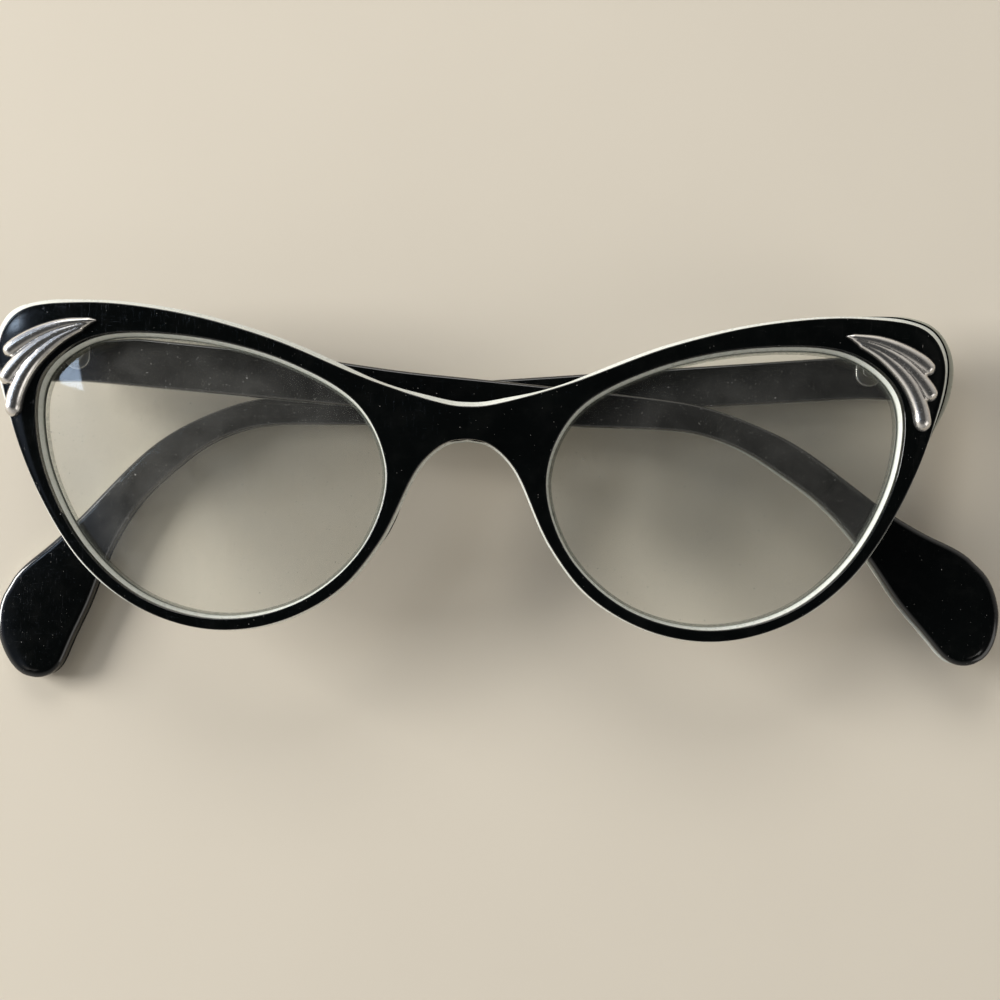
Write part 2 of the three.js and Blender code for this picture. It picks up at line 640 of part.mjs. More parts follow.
// stations down the centre line: u, y, heading, and the half widths above and below
function templeStations(temple) {
  const stations = [];
  const fine = 0.1;
  let u = 0;
  let y = TEMPLE_START_Y;
  let nextStation = 0;
  for (let distance = 0; distance < TEMPLE_LENGTH - fine / 2; distance += fine) {
    const heading = templeHeading(distance, temple);
    if (distance >= nextStation - fine / 2) {
      const above = tapered(distance, 1, TIP.above) + temple.hump * humpShare(distance);
      const below = tapered(distance, 2, TIP.below);
      stations.push({ u, y, heading, above, below });
      const nearTip = TEMPLE_LENGTH - distance < TIP.below.round + TEMPLE_STEP;
      const straight = distance > STRAIGHT[0] && distance < STRAIGHT[1];
      if (nearTip) nextStation += Math.max(0.35, (TEMPLE_LENGTH - distance) * 0.32);
      else nextStation += straight ? STRAIGHT_STEP : TEMPLE_STEP;
    }
    u += Math.cos(heading) * fine;
    y += Math.sin(heading) * fine;
  }
  stations.push({ u, y, heading: templeHeading(TEMPLE_LENGTH, temple), above: 0, below: 0 });
  return stations;
}

function templeOutline(temple) {
  const stations = templeStations(temple);
  const beside = ({ u, y, heading }, reach) => (
    [u - Math.sin(heading) * reach, y + Math.cos(heading) * reach]);
  const upper = stations.map((station) => beside(station, station.above));
  const lower = stations.map((station) => beside(station, -station.below));
  const butt = [[-TEMPLE_BUTT, upper[0][1]], [-TEMPLE_BUTT, lower[0][1]]];
  const around = [butt[1], ...lower.slice(0, -1), ...[...upper].reverse(), butt[0]];
  return wound(around, true);
}

// a loop with its u axis laid along -X on the right side and +X on the left
function laidOut(loop, side) {
  return flipped(loop, -side);
}

function rivetHole(side) {
  return laidOut(circle(TEMPLE_RIVET_U, HINGE_Y, PIN_RADIUS + PIN_CLEARANCE, PIN_SIDES), side);
}

function templePlies(name, temple) {
  const { side } = temple;
  const { inner, white, outer } = TEMPLE_PLIES;
  const outline = templeOutline(temple);
  const holes = [rivetHole(side)];
  const level = (z, inset) => ({ z, outline: laidOut(offsetLoop(outline, -inset), side), holes });
  const innerTop = -TEMPLE_OFFSET;
  const innerBottom = innerTop - inner;
  const whiteBottom = innerBottom - white;
  const outerBottom = whiteBottom - outer;
  const innerPly = plate([
    level(innerBottom + PLY_GAP, 0), level(innerTop - TEMPLE_EDGE_ROUND, 0),
    level(innerTop, TEMPLE_EDGE_ROUND)]);
  const whitePly = plate([level(whiteBottom + PLY_GAP, WHITE_BEVEL), level(innerBottom, 0)]);
  const outerPly = plate([
    level(outerBottom, TEMPLE_BEVEL + TEMPLE_EDGE_ROUND),
    level(outerBottom + TEMPLE_EDGE_ROUND, TEMPLE_BEVEL),
    level(whiteBottom, WHITE_BEVEL),
  ]);
  return [
    named(`${name}_temple_inner_ply`, innerPly, blackAcetate()),
    named(`${name}_temple_white_ply`, whitePly, whiteAcetate()),
    named(`${name}_temple_outer_ply`, outerPly, blackAcetate()),
  ];
}

function templeLeaf(name, side) {
  const bottom = -TEMPLE_OFFSET + WING_LIFT;
  const top = bottom + LEAF_THICKNESS;
  const half = LEAF_HEIGHT / 2;
  const plan = roundedBox(TEMPLE_LEAF_U, [HINGE_Y - half, HINGE_Y + half], LEAF_CORNER.temple);
  const outline = laidOut(plan, side);
  const holes = [rivetHole(side)];
  const pieces = [plate([{ z: bottom, outline, holes }, { z: top, outline, holes }])];
  for (let k = 1; k < KNUCKLES; k += 2) {
    const span = knuckleSpan(k);
    pieces.push(barAlongY(0, 0, KNUCKLE_RADIUS, span, SCREW_SIDES));
    const ends = [0, -side * (TEMPLE_LEAF_U[0] + 0.5)].sort((a, b) => a - b);
    pieces.push(box(ends, span, [-KNUCKLE_RADIUS * 0.95, top - 0.05]));
  }
  const solid = withScrewHole(union(pieces), 0, 0);
  return named(`${name}_hinge_temple_leaf`, fromManifold(solid), nickel());
}

function templeRivet(name, side) {
  const { inner, white, outer } = TEMPLE_PLIES;
  const outline = circle(-side * TEMPLE_RIVET_U, HINGE_Y, PIN_RADIUS, PIN_SIDES);
  const top = -TEMPLE_OFFSET + WING_LIFT + LEAF_THICKNESS + 0.15;
  const bottom = -TEMPLE_OFFSET - inner - white - outer;
  const geometry = plate([{ z: bottom, outline, holes: [] }, { z: top, outline, holes: [] }]);
  return named(`${name}_temple_rivet`, geometry, nickel());
}

function templeGroup(name, temple) {
  const group = new THREE.Group();
  group.name = `${name}_temple`;
  group.position.set(HINGE_X * temple.side, 0, hingeZ());
  group.rotation.y = -temple.fold;
  group.add(...templePlies(name, temple));
  group.add(templeLeaf(name, temple.side), templeRivet(name, temple.side));
  return group;
}

// ---- assembly ----
const glasses = new THREE.Group();
glasses.name = 'eyeglasses_frame';
glasses.add(...frontPlies());
for (const [name, side] of Object.entries(SIDES)) {
  glasses.add(endpieceBlock(name, side), lens(name, side), nosePad(name, side), wingOrnament(name));
  for (const which of Object.keys(WING_PINS)) glasses.add(wingPin(name, which, side));
  glasses.add(frontLeaf(name, side), hingeScrew(name, side));
}
for (const [name, temple] of Object.entries(TEMPLES)) glasses.add(templeGroup(name, temple));

// the right temple comes level, and the origin moves to the middle of the bounding box's bottom
glasses.rotation.y = TEMPLES.right.fold;
const bounds = new THREE.Box3().setFromObject(glasses, true);
const middle = bounds.getCenter(new THREE.Vector3());
glasses.position.set(-middle.x, -middle.y, -bounds.min.z);

export default glasses;
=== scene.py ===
"""Looks for the cat-eye eyeglasses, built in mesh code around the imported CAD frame.

All shapes are drawn in millimetres in the front's own frame (+X across, +Y to the brow, +Z out of the
face), or in a temple's frame about its hinge axis, and are then placed in the row frame in metres."""
import json
import math

import bmesh
import bpy
import numpy as np
from mathutils import Matrix, Vector


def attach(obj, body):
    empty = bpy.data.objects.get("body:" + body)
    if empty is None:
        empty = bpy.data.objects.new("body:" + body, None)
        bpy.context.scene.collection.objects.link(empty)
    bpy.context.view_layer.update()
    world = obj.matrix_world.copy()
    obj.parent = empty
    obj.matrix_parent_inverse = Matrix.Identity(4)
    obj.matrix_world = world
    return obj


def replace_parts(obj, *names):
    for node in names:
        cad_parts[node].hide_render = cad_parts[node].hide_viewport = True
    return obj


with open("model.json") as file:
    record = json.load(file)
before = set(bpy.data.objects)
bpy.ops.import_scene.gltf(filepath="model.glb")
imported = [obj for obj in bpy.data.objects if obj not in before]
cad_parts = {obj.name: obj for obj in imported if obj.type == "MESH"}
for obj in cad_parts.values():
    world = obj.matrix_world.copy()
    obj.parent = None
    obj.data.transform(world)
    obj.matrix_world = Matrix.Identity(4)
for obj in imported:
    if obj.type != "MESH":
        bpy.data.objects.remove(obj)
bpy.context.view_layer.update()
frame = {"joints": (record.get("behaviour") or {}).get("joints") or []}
MM = 0.001
DEG = math.pi / 180
SIDES = {"left": -1, "right": 1}

# ---- dimensions, as in the CAD ----
BOW_RADIUS = 840.0
BLACK, WHITE, BACK, GLUE = 1.4, 1.3, 1.1, 0.02
FRONT = BLACK + WHITE + BACK
BEVEL_LEAST, BEVEL_BRIDGE, BEVEL_CORNER = 0.2, 0.6, 0.3
BEVEL_BROW = {1: 0.42, -1: 0.52}
BEVEL_SIDE = {1: 0.35, -1: 0.55}
LEDGE_PLAIN, LEDGE_CORNER = -0.05, {1: 0.25, -1: 0.0}
RIM_BEVEL, RIM_LEDGE = 0.36, 0.32
FACE_ROUND = 0.15
BRIDGE_TOP, NOSE_ARCH = 9.5, 5.15
HALF_OUTLINE = [
    (2.4, 9.65), (12.6, 12.6), (26.9, 18.2), (39.9, 21.5), (52.3, 22.6), (61.1, 21.2), (63.6, 17.1),
    (61.9, 7.7), (57.1, -3.7), (50.9, -12.5), (43.2, -18.2), (34.1, -20.8), (25.1, -19.8),
    (16.8, -15.4), (11.3, -8.7), (6.1, 1.8), (2.7, 4.7),
]
RIM_OPENING = [
    (10.6, 0.3), (13.5, -9.5), (21.5, -16.8), (32.4, -19.4), (43.4, -16.6), (52.1, -8.9),
    (57.6, 2.9), (57.5, 12.5), (51.4, 17.7), (38.9, 18.4), (24.2, 15.0), (14.2, 9.0),
]
BLOCK = 1.2
BLOCK_OVERHANG = {1: 1.0, -1: 0.4}
BLOCK_OUTER_SPAN = [(51.0, 22.6), (61.4, 6.4)]
BLOCK_INNER_EDGE = [(59.0, 9.0), (58.6, 11.8), (57.1, 14.2), (54.7, 16.7), (51.0, 19.0)]
BACK_GAP = 0.15
LENS_CENTRE = np.array([34.6, 0.0])
LENS_DOME = 1.3
WING_GROWTH = {1: 1.0, -1: 1.06}
FEATHERS = [
    ([(50.1, 20.1), (54.2, 19.6), (57.7, 18.4), (60.5, 16.8), (61.9, 15.5)], [0.35, 0.8, 1.0, 1.1, 0.9]),
    ([(50.7, 19.8), (55.0, 18.4), (58.6, 16.1), (60.9, 13.6), (62.0, 11.9)], [0.35, 0.75, 1.0, 1.15, 1.0]),
    ([(51.3, 19.5), (55.2, 17.4), (58.5, 14.2), (60.2, 10.8), (60.7, 7.7)], [0.35, 0.8, 1.05, 1.15, 1.2]),
]
WING_PINS = {"upper": (60.5, 16.9), "lower": (59.6, 12.4)}
HINGE_X, HINGE_Y, HINGE_DROP = 58.3, 16.5, 2.0
HINGE_Z = -(HINGE_X ** 2) / (2 * BOW_RADIUS) - FRONT - BLOCK - HINGE_DROP
KNUCKLES, KNUCKLE_RADIUS, KNUCKLE_LENGTH, KNUCKLE_GAP = 5, 1.25, 0.72, 0.08
LEAF_THICKNESS, LEAF_HEIGHT = 0.8, 4.0
FRONT_LEAF_X = (57.5, 62.3)
TEMPLE_LEAF_U = (1.5, 5.0)
RIVET_U = 3.4
TEMPLE_LENGTH, TEMPLE_OFFSET, TEMPLE_BUTT = 141.7, 1.4, 1.35
INNER, CORE, OUTER = 1.5, 1.1, 1.0
SLOPE, START_Y, BEND_START, BEND_END = 4.5 * DEG, 16.2, 87.1, 107.0
TIP = {1: (4.8, 1.8), 2: (5.1, 3.15)}
TEMPLE_WIDTHS = [
    (0, 3.5, 3.5), (3, 3.05, 3.05), (12, 2.95, 2.95), (45, 2.75, 2.75), (72, 2.6, 2.6),
    (88, 2.23, 1.74), (96, 1.7, 2.12), (104, 1.7, 2.9), (111, 1.7, 3.0), (118, 2.3, 3.63),
    (124, 4.05, 4.45), (129, 6.48, 4.89), (134, 7.06, 4.5), (139, 5.1, 3.94), (143, 4.4, 3.6),
]
TEMPLES = {
    "left": {"side": -1, "fold": 1.7 * DEG, "bend": 35.4 * DEG, "sweep": 26 * DEG, "hump": 0.8},
    "right": {"side": 1, "fold": 2.05 * DEG, "bend": 44 * DEG, "sweep": 37.5 * DEG, "hump": 0.0},
}

# ---- frames of reference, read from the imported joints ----
pins = {j["child"]: np.array(j["pos_m"]) / MM for j in frame["joints"]}
across = pins["right_temple"] - pins["left_temple"]
across /= np.linalg.norm(across)
FOLD = math.asin(-across[2])


def turned(angle):
    """Columns are the axes of a frame turned about +Y."""
    c, s = math.cos(angle), math.sin(angle)
    return np.array([[c, 0, s], [0, 1, 0], [-s, 0, c]])


FRONT_AXES = turned(FOLD)
FRONT_ORIGIN = (pins["left_temple"] + pins["right_temple"]) / 2 - FRONT_AXES @ np.array([0, HINGE_Y, HINGE_Z])


def from_front(points):
    return (np.asarray(points) @ FRONT_AXES.T + FRONT_ORIGIN) * MM


def from_temple(points, temple):
    """Points in a temple's own frame, with y measured in the front's frame."""
    side = temple["side"]
    hinge = FRONT_AXES @ np.array([HINGE_X * side, 0, HINGE_Z]) + FRONT_ORIGIN
    return (np.asarray(points) @ turned(FOLD - temple["fold"]).T + hinge) * MM


# ---- curves ----
def catmull(points, closed, per=40):
    """Centripetal Catmull-Rom through the points, as a dense polyline."""
    p = np.array(points, float)
    n = len(p)
    spans = n if closed else n - 1
    out = []
    for i in range(spans):
        if closed:
            a, b, c, d = p[(i - 1) % n], p[i], p[(i + 1) % n], p[(i + 2) % n]
        else:
            b, c = p[i], p[i + 1]
            a = p[i - 1] if i else 2 * b - c
            d = p[i + 2] if i + 2 < n else 2 * c - b
        t0, t1, t2 = (np.linalg.norm(v) ** 0.5 for v in (b - a, c - b, d - c))
        m1 = ((b - a) / t0 - (c - a) / (t0 + t1) + (c - b) / t1) * t1
        m2 = ((c - b) / t1 - (d - b) / (t1 + t2) + (d - c) / t2) * t1
        t = np.linspace(0, 1, per, endpoint=False)[:, None]
        out.append(b + m1 * t + (-3 * b + 3 * c - 2 * m1 - m2) * t ** 2 + (2 * b - 2 * c + m1 + m2) * t ** 3)
    if not closed:
        out.append(p[-1:])
    return np.vstack(out)


def spaced(line, count, closed):
    """count points at equal distances along a polyline."""
    pts = np.vstack([line, line[:1]]) if closed else line
    run = np.r_[0, np.cumsum(np.linalg.norm(np.diff(pts, axis=0), axis=1))]
    at = np.linspace(0, run[-1], count, endpoint=not closed)
    return np.stack([np.interp(at, run, pts[:, k]) for k in range(pts.shape[1])], axis=1)


def relaxed(loop, sigma):
    """A closed loop with its curvature evened out over about sigma samples."""
    n = len(loop)
    f = np.exp(-2 * (np.pi * np.fft.fftfreq(n) * sigma) ** 2)[:, None]
    return np.real(np.fft.ifft(np.fft.fft(loop, axis=0) * f, axis=0))


def normals(loop):
    """Outward normals of an anticlockwise closed loop."""
    t = np.roll(loop, -1, 0) - np.roll(loop, 1, 0)
    t /= np.linalg.norm(t, axis=1)[:, None]
    return np.stack([t[:, 1], -t[:, 0]], axis=1)


def signed_area(loop):
    x, y = loop.T
    return 0.5 * np.sum(x * np.roll(y, -1) - np.roll(x, -1) * y)


def smoothstep(v, low, high):
    t = np.clip((v - low) / (high - low), 0, 1)
    return t * t * (3 - 2 * t)


# ---- mesh helpers ----
def finish_mesh(name, points, faces, materials, slots=None, weld=0.0, smooth=40):
    mesh = bpy.data.meshes.new(name)
    mesh.from_pydata([tuple(p) for p in points], [], faces)
    for m in materials:
        mesh.materials.append(m)
    if slots is not None:
        mesh.polygons.foreach_set("material_index", slots)
    bm = bmesh.new()
    bm.from_mesh(mesh)
    if weld:
        bmesh.ops.remove_doubles(bm, verts=bm.verts, dist=weld)
    bmesh.ops.dissolve_degenerate(bm, edges=bm.edges, dist=1e-8)
    bmesh.ops.recalc_face_normals(bm, faces=bm.faces)
    for f in bm.faces:
        f.smooth = True
    sharp = math.radians(smooth)
    for e in bm.edges:
        if len(e.link_faces) == 2 and e.calc_face_angle(0) > sharp:
            e.smooth = False
    bm.to_mesh(mesh)
    bm.free()
    obj = bpy.data.objects.new(name, mesh)
    bpy.context.scene.collection.objects.link(obj)
    return obj


def grid_faces(rows, columns, close_rows, close_columns, start=0):
    faces = []
    for i in range(rows if close_rows else rows - 1):
        for j in range(columns if close_columns else columns - 1):
            k, m = (i + 1) % rows, (j + 1) % columns
            faces.append((start + i * columns + j, start + k * columns + j,
                          start + k * columns + m, start + i * columns + m))
    return faces


# ---- the front: spokes run from the lens opening out to the outline, on one half ----
def bow(x, y):
    """Depth of the bent front, with the bridge standing a little proud of the two rims."""
    step = np.abs(x) - (5.0 + 0.3 * (y - 5.2))
    return -(x ** 2) / (2 * BOW_RADIUS) + BRIDGE_STEP * (1 - smoothstep(step, -2.2, 2.2))


BRIDGE_STEP = 0.45
OUTLINE_SAMPLES = 1600
mirrored = [(-x, y) for x, y in reversed(HALF_OUTLINE)]
outline = relaxed(spaced(catmull([(0, BRIDGE_TOP)] + HALF_OUTLINE + [(0, NOSE_ARCH)] + mirrored, True),
                         OUTLINE_SAMPLES, True), 3.0)
outline_normals = -normals(outline)   # the outline runs clockwise
rim = relaxed(spaced(catmull(RIM_OPENING, True), 1200, True), 4.0)
rim_normals = -normals(rim)           # towards the opening


def rim_at(angles):
    """Rim points and their normals at polar angles about the lens centre."""
    d = rim - LENS_CENTRE
    a = np.unwrap(np.arctan2(d[:, 1], d[:, 0]))
    order = np.argsort(np.mod(a, 2 * np.pi))
    key = np.mod(a, 2 * np.pi)[order]
    table = np.hstack([rim, rim_normals])[order]
    key = np.r_[key[-1] - 2 * np.pi, key, key[0] + 2 * np.pi]
    table = np.vstack([table[-1], table, table[0]])
    got = np.stack([np.interp(np.mod(angles, 2 * np.pi), key, table[:, k]) for k in range(4)], axis=1)
    got[:, 2:] /= np.linalg.norm(got[:, 2:], axis=1)[:, None]
    return got[:, :2], got[:, 2:]


half = np.arange(0, OUTLINE_SAMPLES // 2 + 1, 2)
seam = np.linspace(NOSE_ARCH + 0.7, BRIDGE_TOP - 0.7, 8)
SP_O = np.vstack([outline[half], np.stack([np.zeros_like(seam), seam], axis=1)])
SP_ON = np.vstack([outline_normals[half], np.zeros((len(seam), 2))])
SP_R, SP_RN = rim_at(np.arctan2(SP_O[:, 1], SP_O[:, 0] - LENS_CENTRE[0]))


def bevel_widths(p, n, side=1):
    """How far the white sheet and the back sheet reach past the black one, at outline points p.

    The points are on the right half; side is -1 when they are for its mirror image."""
    x = np.abs(p[:, 0])
    corner = smoothstep(x, 50, 60) * smoothstep(p[:, 1], 4, 14)
    dip = 0.5 * np.exp(-((x - 11) / 5) ** 2)
    most = BEVEL_BRIDGE + (BEVEL_BROW[side] - BEVEL_BRIDGE) * smoothstep(x, 4, 14)
    upper = most * (1 - dip) * smoothstep(n[:, 1], -0.4, 0.6)
    lateral = BEVEL_SIDE[side] * smoothstep(n[:, 0], 0.2, 0.8)
    bevel = BEVEL_LEAST + upper + lateral + BEVEL_CORNER * corner
    return bevel, bevel + LEDGE_PLAIN + (LEDGE_CORNER[side] - LEDGE_PLAIN) * corner


BEVEL_AT, BACK_AT = np.stack([bevel_widths(SP_O, SP_ON, side) for side in (1, -1)], axis=1)


def distance_to(loop, p):
    """Distance from each point to the nearest point of a dense loop."""
    return np.sqrt(((p.reshape(-1, 1, 2) - loop[None, ::2, :]) ** 2).sum(-1).min(1))


class Section:
    """Collects the closed cross-section of one ply, for every spoke at once."""

    def __init__(self):
        self.rows = []

    def outer(self, d, z):
        self.rows.append(self.lifted(self.reached(SP_O, SP_ON, d), z))

    def inner(self, d, z):
        self.rows.append(self.lifted(self.reached(SP_R, SP_RN, d), z))

    def between(self, outer_d, inner_d, z, shares, crown=0.0, reach=2.0):
        a = self.reached(SP_O, SP_ON, outer_d)
        b = self.reached(SP_R, SP_RN, inner_d)
        for t in shares:
            p = a + (b - a) * t
            swell = 0.0
            if crown:
                away = np.minimum(distance_to(outline, p), distance_to(rim, p)).reshape(p.shape[:-1])
                swell = crown * (1 - np.exp(-(np.maximum(0, away - 0.35) / reach) ** 1.3))
            self.rows.append(self.lifted(p, z + swell))

    @staticmethod
    def reached(points, norms, d):
        """The points moved out by d, once for each half; d is a number or one row per half."""
        d = np.broadcast_to(d, (2, len(points)))
        return points + norms * d[..., None]

    @staticmethod
    def lifted(p, z):
        return np.stack([p[..., 0], p[..., 1], bow(p[..., 0], p[..., 1]) + z], axis=-1)

    def build(self, name, materials, smooth=40):
        ring = np.stack(self.rows, axis=2)
        _, spokes, columns, _ = ring.shape
        right = ring[0].reshape(-1, 3)
        left = ring[1].reshape(-1, 3) * (-1, 1, 1)
        faces = grid_faces(spokes, columns, True, True)
        flat = np.abs(right[:, 0]) < 1e-4
        faces = [f for f in faces if not all(flat[i] for i in f)]
        n = len(right)
        faces += [tuple(i + n for i in reversed(f)) for f in faces]
        points = from_front(np.vstack([right, left]))
        return finish_mesh(name, points, faces, materials, weld=1e-7, smooth=smooth)


SHARES = [0.02, 0.05, 0.1, 0.16, 0.24, 0.34, 0.44, 0.56, 0.66, 0.76, 0.84, 0.9, 0.95, 0.98]


def fillet(section, edge, radius, z, sign_up, base=0.0, steps=6, flip=False):
    """A quarter round between a wall and a face; sign_up is +1 for a top edge and -1 for a bottom one."""
    angles = np.linspace(0, np.pi / 2, steps + 1)
    angles = angles[::-1] if flip else angles
    for a in angles:
        edge(base - radius * (1 - math.cos(a)), z - sign_up * radius * (1 - math.sin(a)))


def front_black(material):
    s = Section()
    s.outer(0, -BLACK)
    fillet(s, s.outer, FACE_ROUND, 0.0, 1)
    s.between(-FACE_ROUND, -FACE_ROUND, 0.0, SHARES, crown=0.16)
    fillet(s, s.inner, FACE_ROUND, 0.0, 1, flip=True)
    s.inner(0, -BLACK)
    s.between(0, 0, -BLACK, [0.8, 0.2])
    return s.build("front_face_sheet", [material], smooth=50)


def front_white(material):
    s = Section()
    top, bottom = -BLACK - GLUE, -BLACK - WHITE
    for t in (0, 0.2, 0.4, 0.6, 0.8, 1.0):
        s.outer(BEVEL_AT * t ** 0.9, top + (bottom - top) * t)
    s.between(BEVEL_AT, RIM_BEVEL, bottom, [0.2, 0.8])
    for t in (1.0, 0.8, 0.6, 0.4, 0.2, 0):
        s.inner(RIM_BEVEL * t ** 0.9, top + (bottom - top) * t)
    s.between(0, 0, top, [0.8, 0.2])
    return s.build("front_core_sheet", [material], smooth=50)


def front_back(material):
    s = Section()
    top, bottom = -BLACK - WHITE - GLUE, -FRONT
    s.outer(BACK_AT, top)
    angles = np.linspace(0, np.pi / 2, 6)
    for a in angles:
        s.outer(BACK_AT - 0.45 * (1 - math.cos(a)), bottom + 0.45 * (1 - math.sin(a)))
    s.between(BACK_AT - 0.45, RIM_LEDGE - 0.2, bottom, SHARES, crown=-0.05)
    for a in angles[::-1]:
        s.inner(RIM_LEDGE - 0.2 * (1 - math.cos(a)), bottom + 0.2 * (1 - math.sin(a)))
    middle = (top + bottom) / 2
    s.inner(RIM_LEDGE, middle - 0.25)
    s.inner(RIM_LEDGE - 0.6, middle)
    s.inner(RIM_LEDGE, middle + 0.25)
    s.inner(RIM_LEDGE, top)
    s.between(BACK_AT, RIM_LEDGE, top, [0.8, 0.2])
    return s.build("front_back_sheet", [material], smooth=50)


# ---- plates between two edges with the same number of points, rounded at the rims ----
def edge_plate(name, edge_a, edge_b, levels, materials, place, columns=6, crown=(0.0, 0.0), depth=None,
               closed_ends=True, smooth=50):
    """edge_a and edge_b run side by side; levels are (inset, z) from the bottom to the top, and an
    inset can be a function of the loop and its normals. crown bulges the bottom and top outwards."""
    n = len(edge_a)
    loop = np.vstack([edge_a, edge_b[::-1]])
    if signed_area(loop) < 0:
        edge_a, edge_b = edge_b, edge_a
        loop = np.vstack([edge_a, edge_b[::-1]])
    norm = normals(loop)
    points, faces = [], []

    def z_of(p, z):
        return z + (depth(p[:, 0], p[:, 1]) if depth else np.zeros(len(p)))

    def moved(inset):
        reach = inset(loop, norm) if callable(inset) else inset
        return loop - norm * np.reshape(reach, (-1, 1))

    rings = []
    for inset, z in levels:
        p = moved(inset)
        rings.append(np.stack([p[:, 0], p[:, 1], z_of(p, z)], axis=1))
    stack = np.vstack(rings)
    m = len(loop)
    points.append(stack)
    faces += grid_faces(len(rings), m, False, True)
    total = len(stack)
    for ring_index, bulge, bottom in ((0, -crown[0], True), (len(rings) - 1, crown[1], False)):
        inset, z = levels[ring_index]
        p = moved(inset)
        a, b = p[:n], p[n:][::-1]
        span = np.linalg.norm(a - b, axis=1)
        inner = []
        for c in range(1, columns):
            t = c / columns
            q = a + (b - a) * t
            lift = bulge * 4 * t * (1 - t) * np.minimum(1, span / 3.0)
            inner.append(np.stack([q[:, 0], q[:, 1], z_of(q, z) + lift], axis=1))
        base = ring_index * m
        columns_index = [[base + i for i in range(n)]]
        for ring in inner:
            columns_index.append(list(range(total, total + n)))
            points.append(ring)
            total += n
        columns_index.append([base + m - 1 - i for i in range(n)])
        for c in range(columns):
            left_column, right_column = columns_index[c], columns_index[c + 1]
            for i in range(n - 1):
                quad = (left_column[i], left_column[i + 1], right_column[i + 1], right_column[i])
                faces.append(quad)
        # the two short ends of the face are fans between the loop's end points
        for i in (0, n - 1):
            chain = [column[i] for column in columns_index]
            if columns > 1:
                faces.append(tuple(chain))
    return finish_mesh(name, place(np.vstack(points)), faces, materials, weld=1e-7, smooth=smooth)


# ---- temples ----
def temple_half(d, column):
    """Half width above (column 1) or below (column 2) the centre line, rounded off at the tip."""
    t = np.array(TEMPLE_WIDTHS, float)[:, (0, column)]
    last = len(t) - 1
    i = np.clip(np.searchsorted(t[:, 0], d, side="right") - 1, 0, last - 1)
    lo, hi = np.maximum(np.arange(last + 1) - 1, 0), np.minimum(np.arange(last + 1) + 1, last)
    slope = (t[hi, 1] - t[lo, 1]) / (t[hi, 0] - t[lo, 0])
    span = t[i + 1, 0] - t[i, 0]
    s = (d - t[i, 0]) / span
    rise = t[i, 1] * (1 + 2 * s) * (1 - s) ** 2 + t[i + 1, 1] * s * s * (3 - 2 * s)
    half = rise + slope[i] * span * s * (1 - s) ** 2 - slope[i + 1] * span * s * s * (1 - s)
    half = np.convolve(np.pad(half, 100, mode="edge"), np.ones(201) / 201, mode="valid")
    length, power = TIP[column]
    past = np.maximum(0, d - (TEMPLE_LENGTH - length)) / length
    return half * np.sqrt(np.maximum(0, 1 - past ** power))


def temple_edges(temple):
    """Upper and lower edge points (u, y), from the butt end to the tip."""
    fine = 0.02
    d = np.arange(0, TEMPLE_LENGTH, fine)
    t = np.clip((d - BEND_START) / (BEND_END - BEND_START), 0, 1)
    past = np.maximum(0, d - BEND_END) / (TEMPLE_LENGTH - BEND_END)
    heading = -(SLOPE + (temple["bend"] - SLOPE) * t + temple["sweep"] * past)
    heading = np.convolve(np.pad(heading, 200, mode="edge"), np.ones(401) / 401, mode="valid")
    u = np.r_[0, np.cumsum(np.cos(heading) * fine)][:-1]
    y = START_Y + np.r_[0, np.cumsum(np.sin(heading) * fine)][:-1]
    stations = np.r_[np.arange(0, 130, 0.7), TEMPLE_LENGTH - 9.7 * (1 - np.linspace(0, 1, 40) ** 0.9) ** 1.7]
    stations = np.unique(np.clip(stations, 0, TEMPLE_LENGTH - fine * 1.5))

    def at(values):
        return np.interp(stations, d, values)

    us, ys, hs = at(u), at(y), at(heading)
    hump = temple["hump"] * smoothstep(d, 5, 12) * (1 - smoothstep(d, 28, 52))
    above, below = at(temple_half(d, 1) + hump), at(temple_half(d, 2))
    above[-1] = below[-1] = 0.02
    up = np.stack([us - np.sin(hs) * above, ys + np.cos(hs) * above], axis=1)
    low = np.stack([us + np.sin(hs) * below, ys - np.cos(hs) * below], axis=1)
    # the butt end: straight on from the first station, with eased corners
    ease = 0.55
    lead = []
    for k in np.linspace(0, 1, 7)[:-1]:
        lead.append((-TEMPLE_BUTT + ease * (1 - math.cos(k * math.pi / 2)), ease * (1 - math.sin(k * math.pi / 2))))
    head = np.array([(x, up[0, 1] - drop) for x, drop in lead])
    foot = np.array([(x, low[0, 1] + drop) for x, drop in lead])
    return np.vstack([head, up]), np.vstack([foot, low])


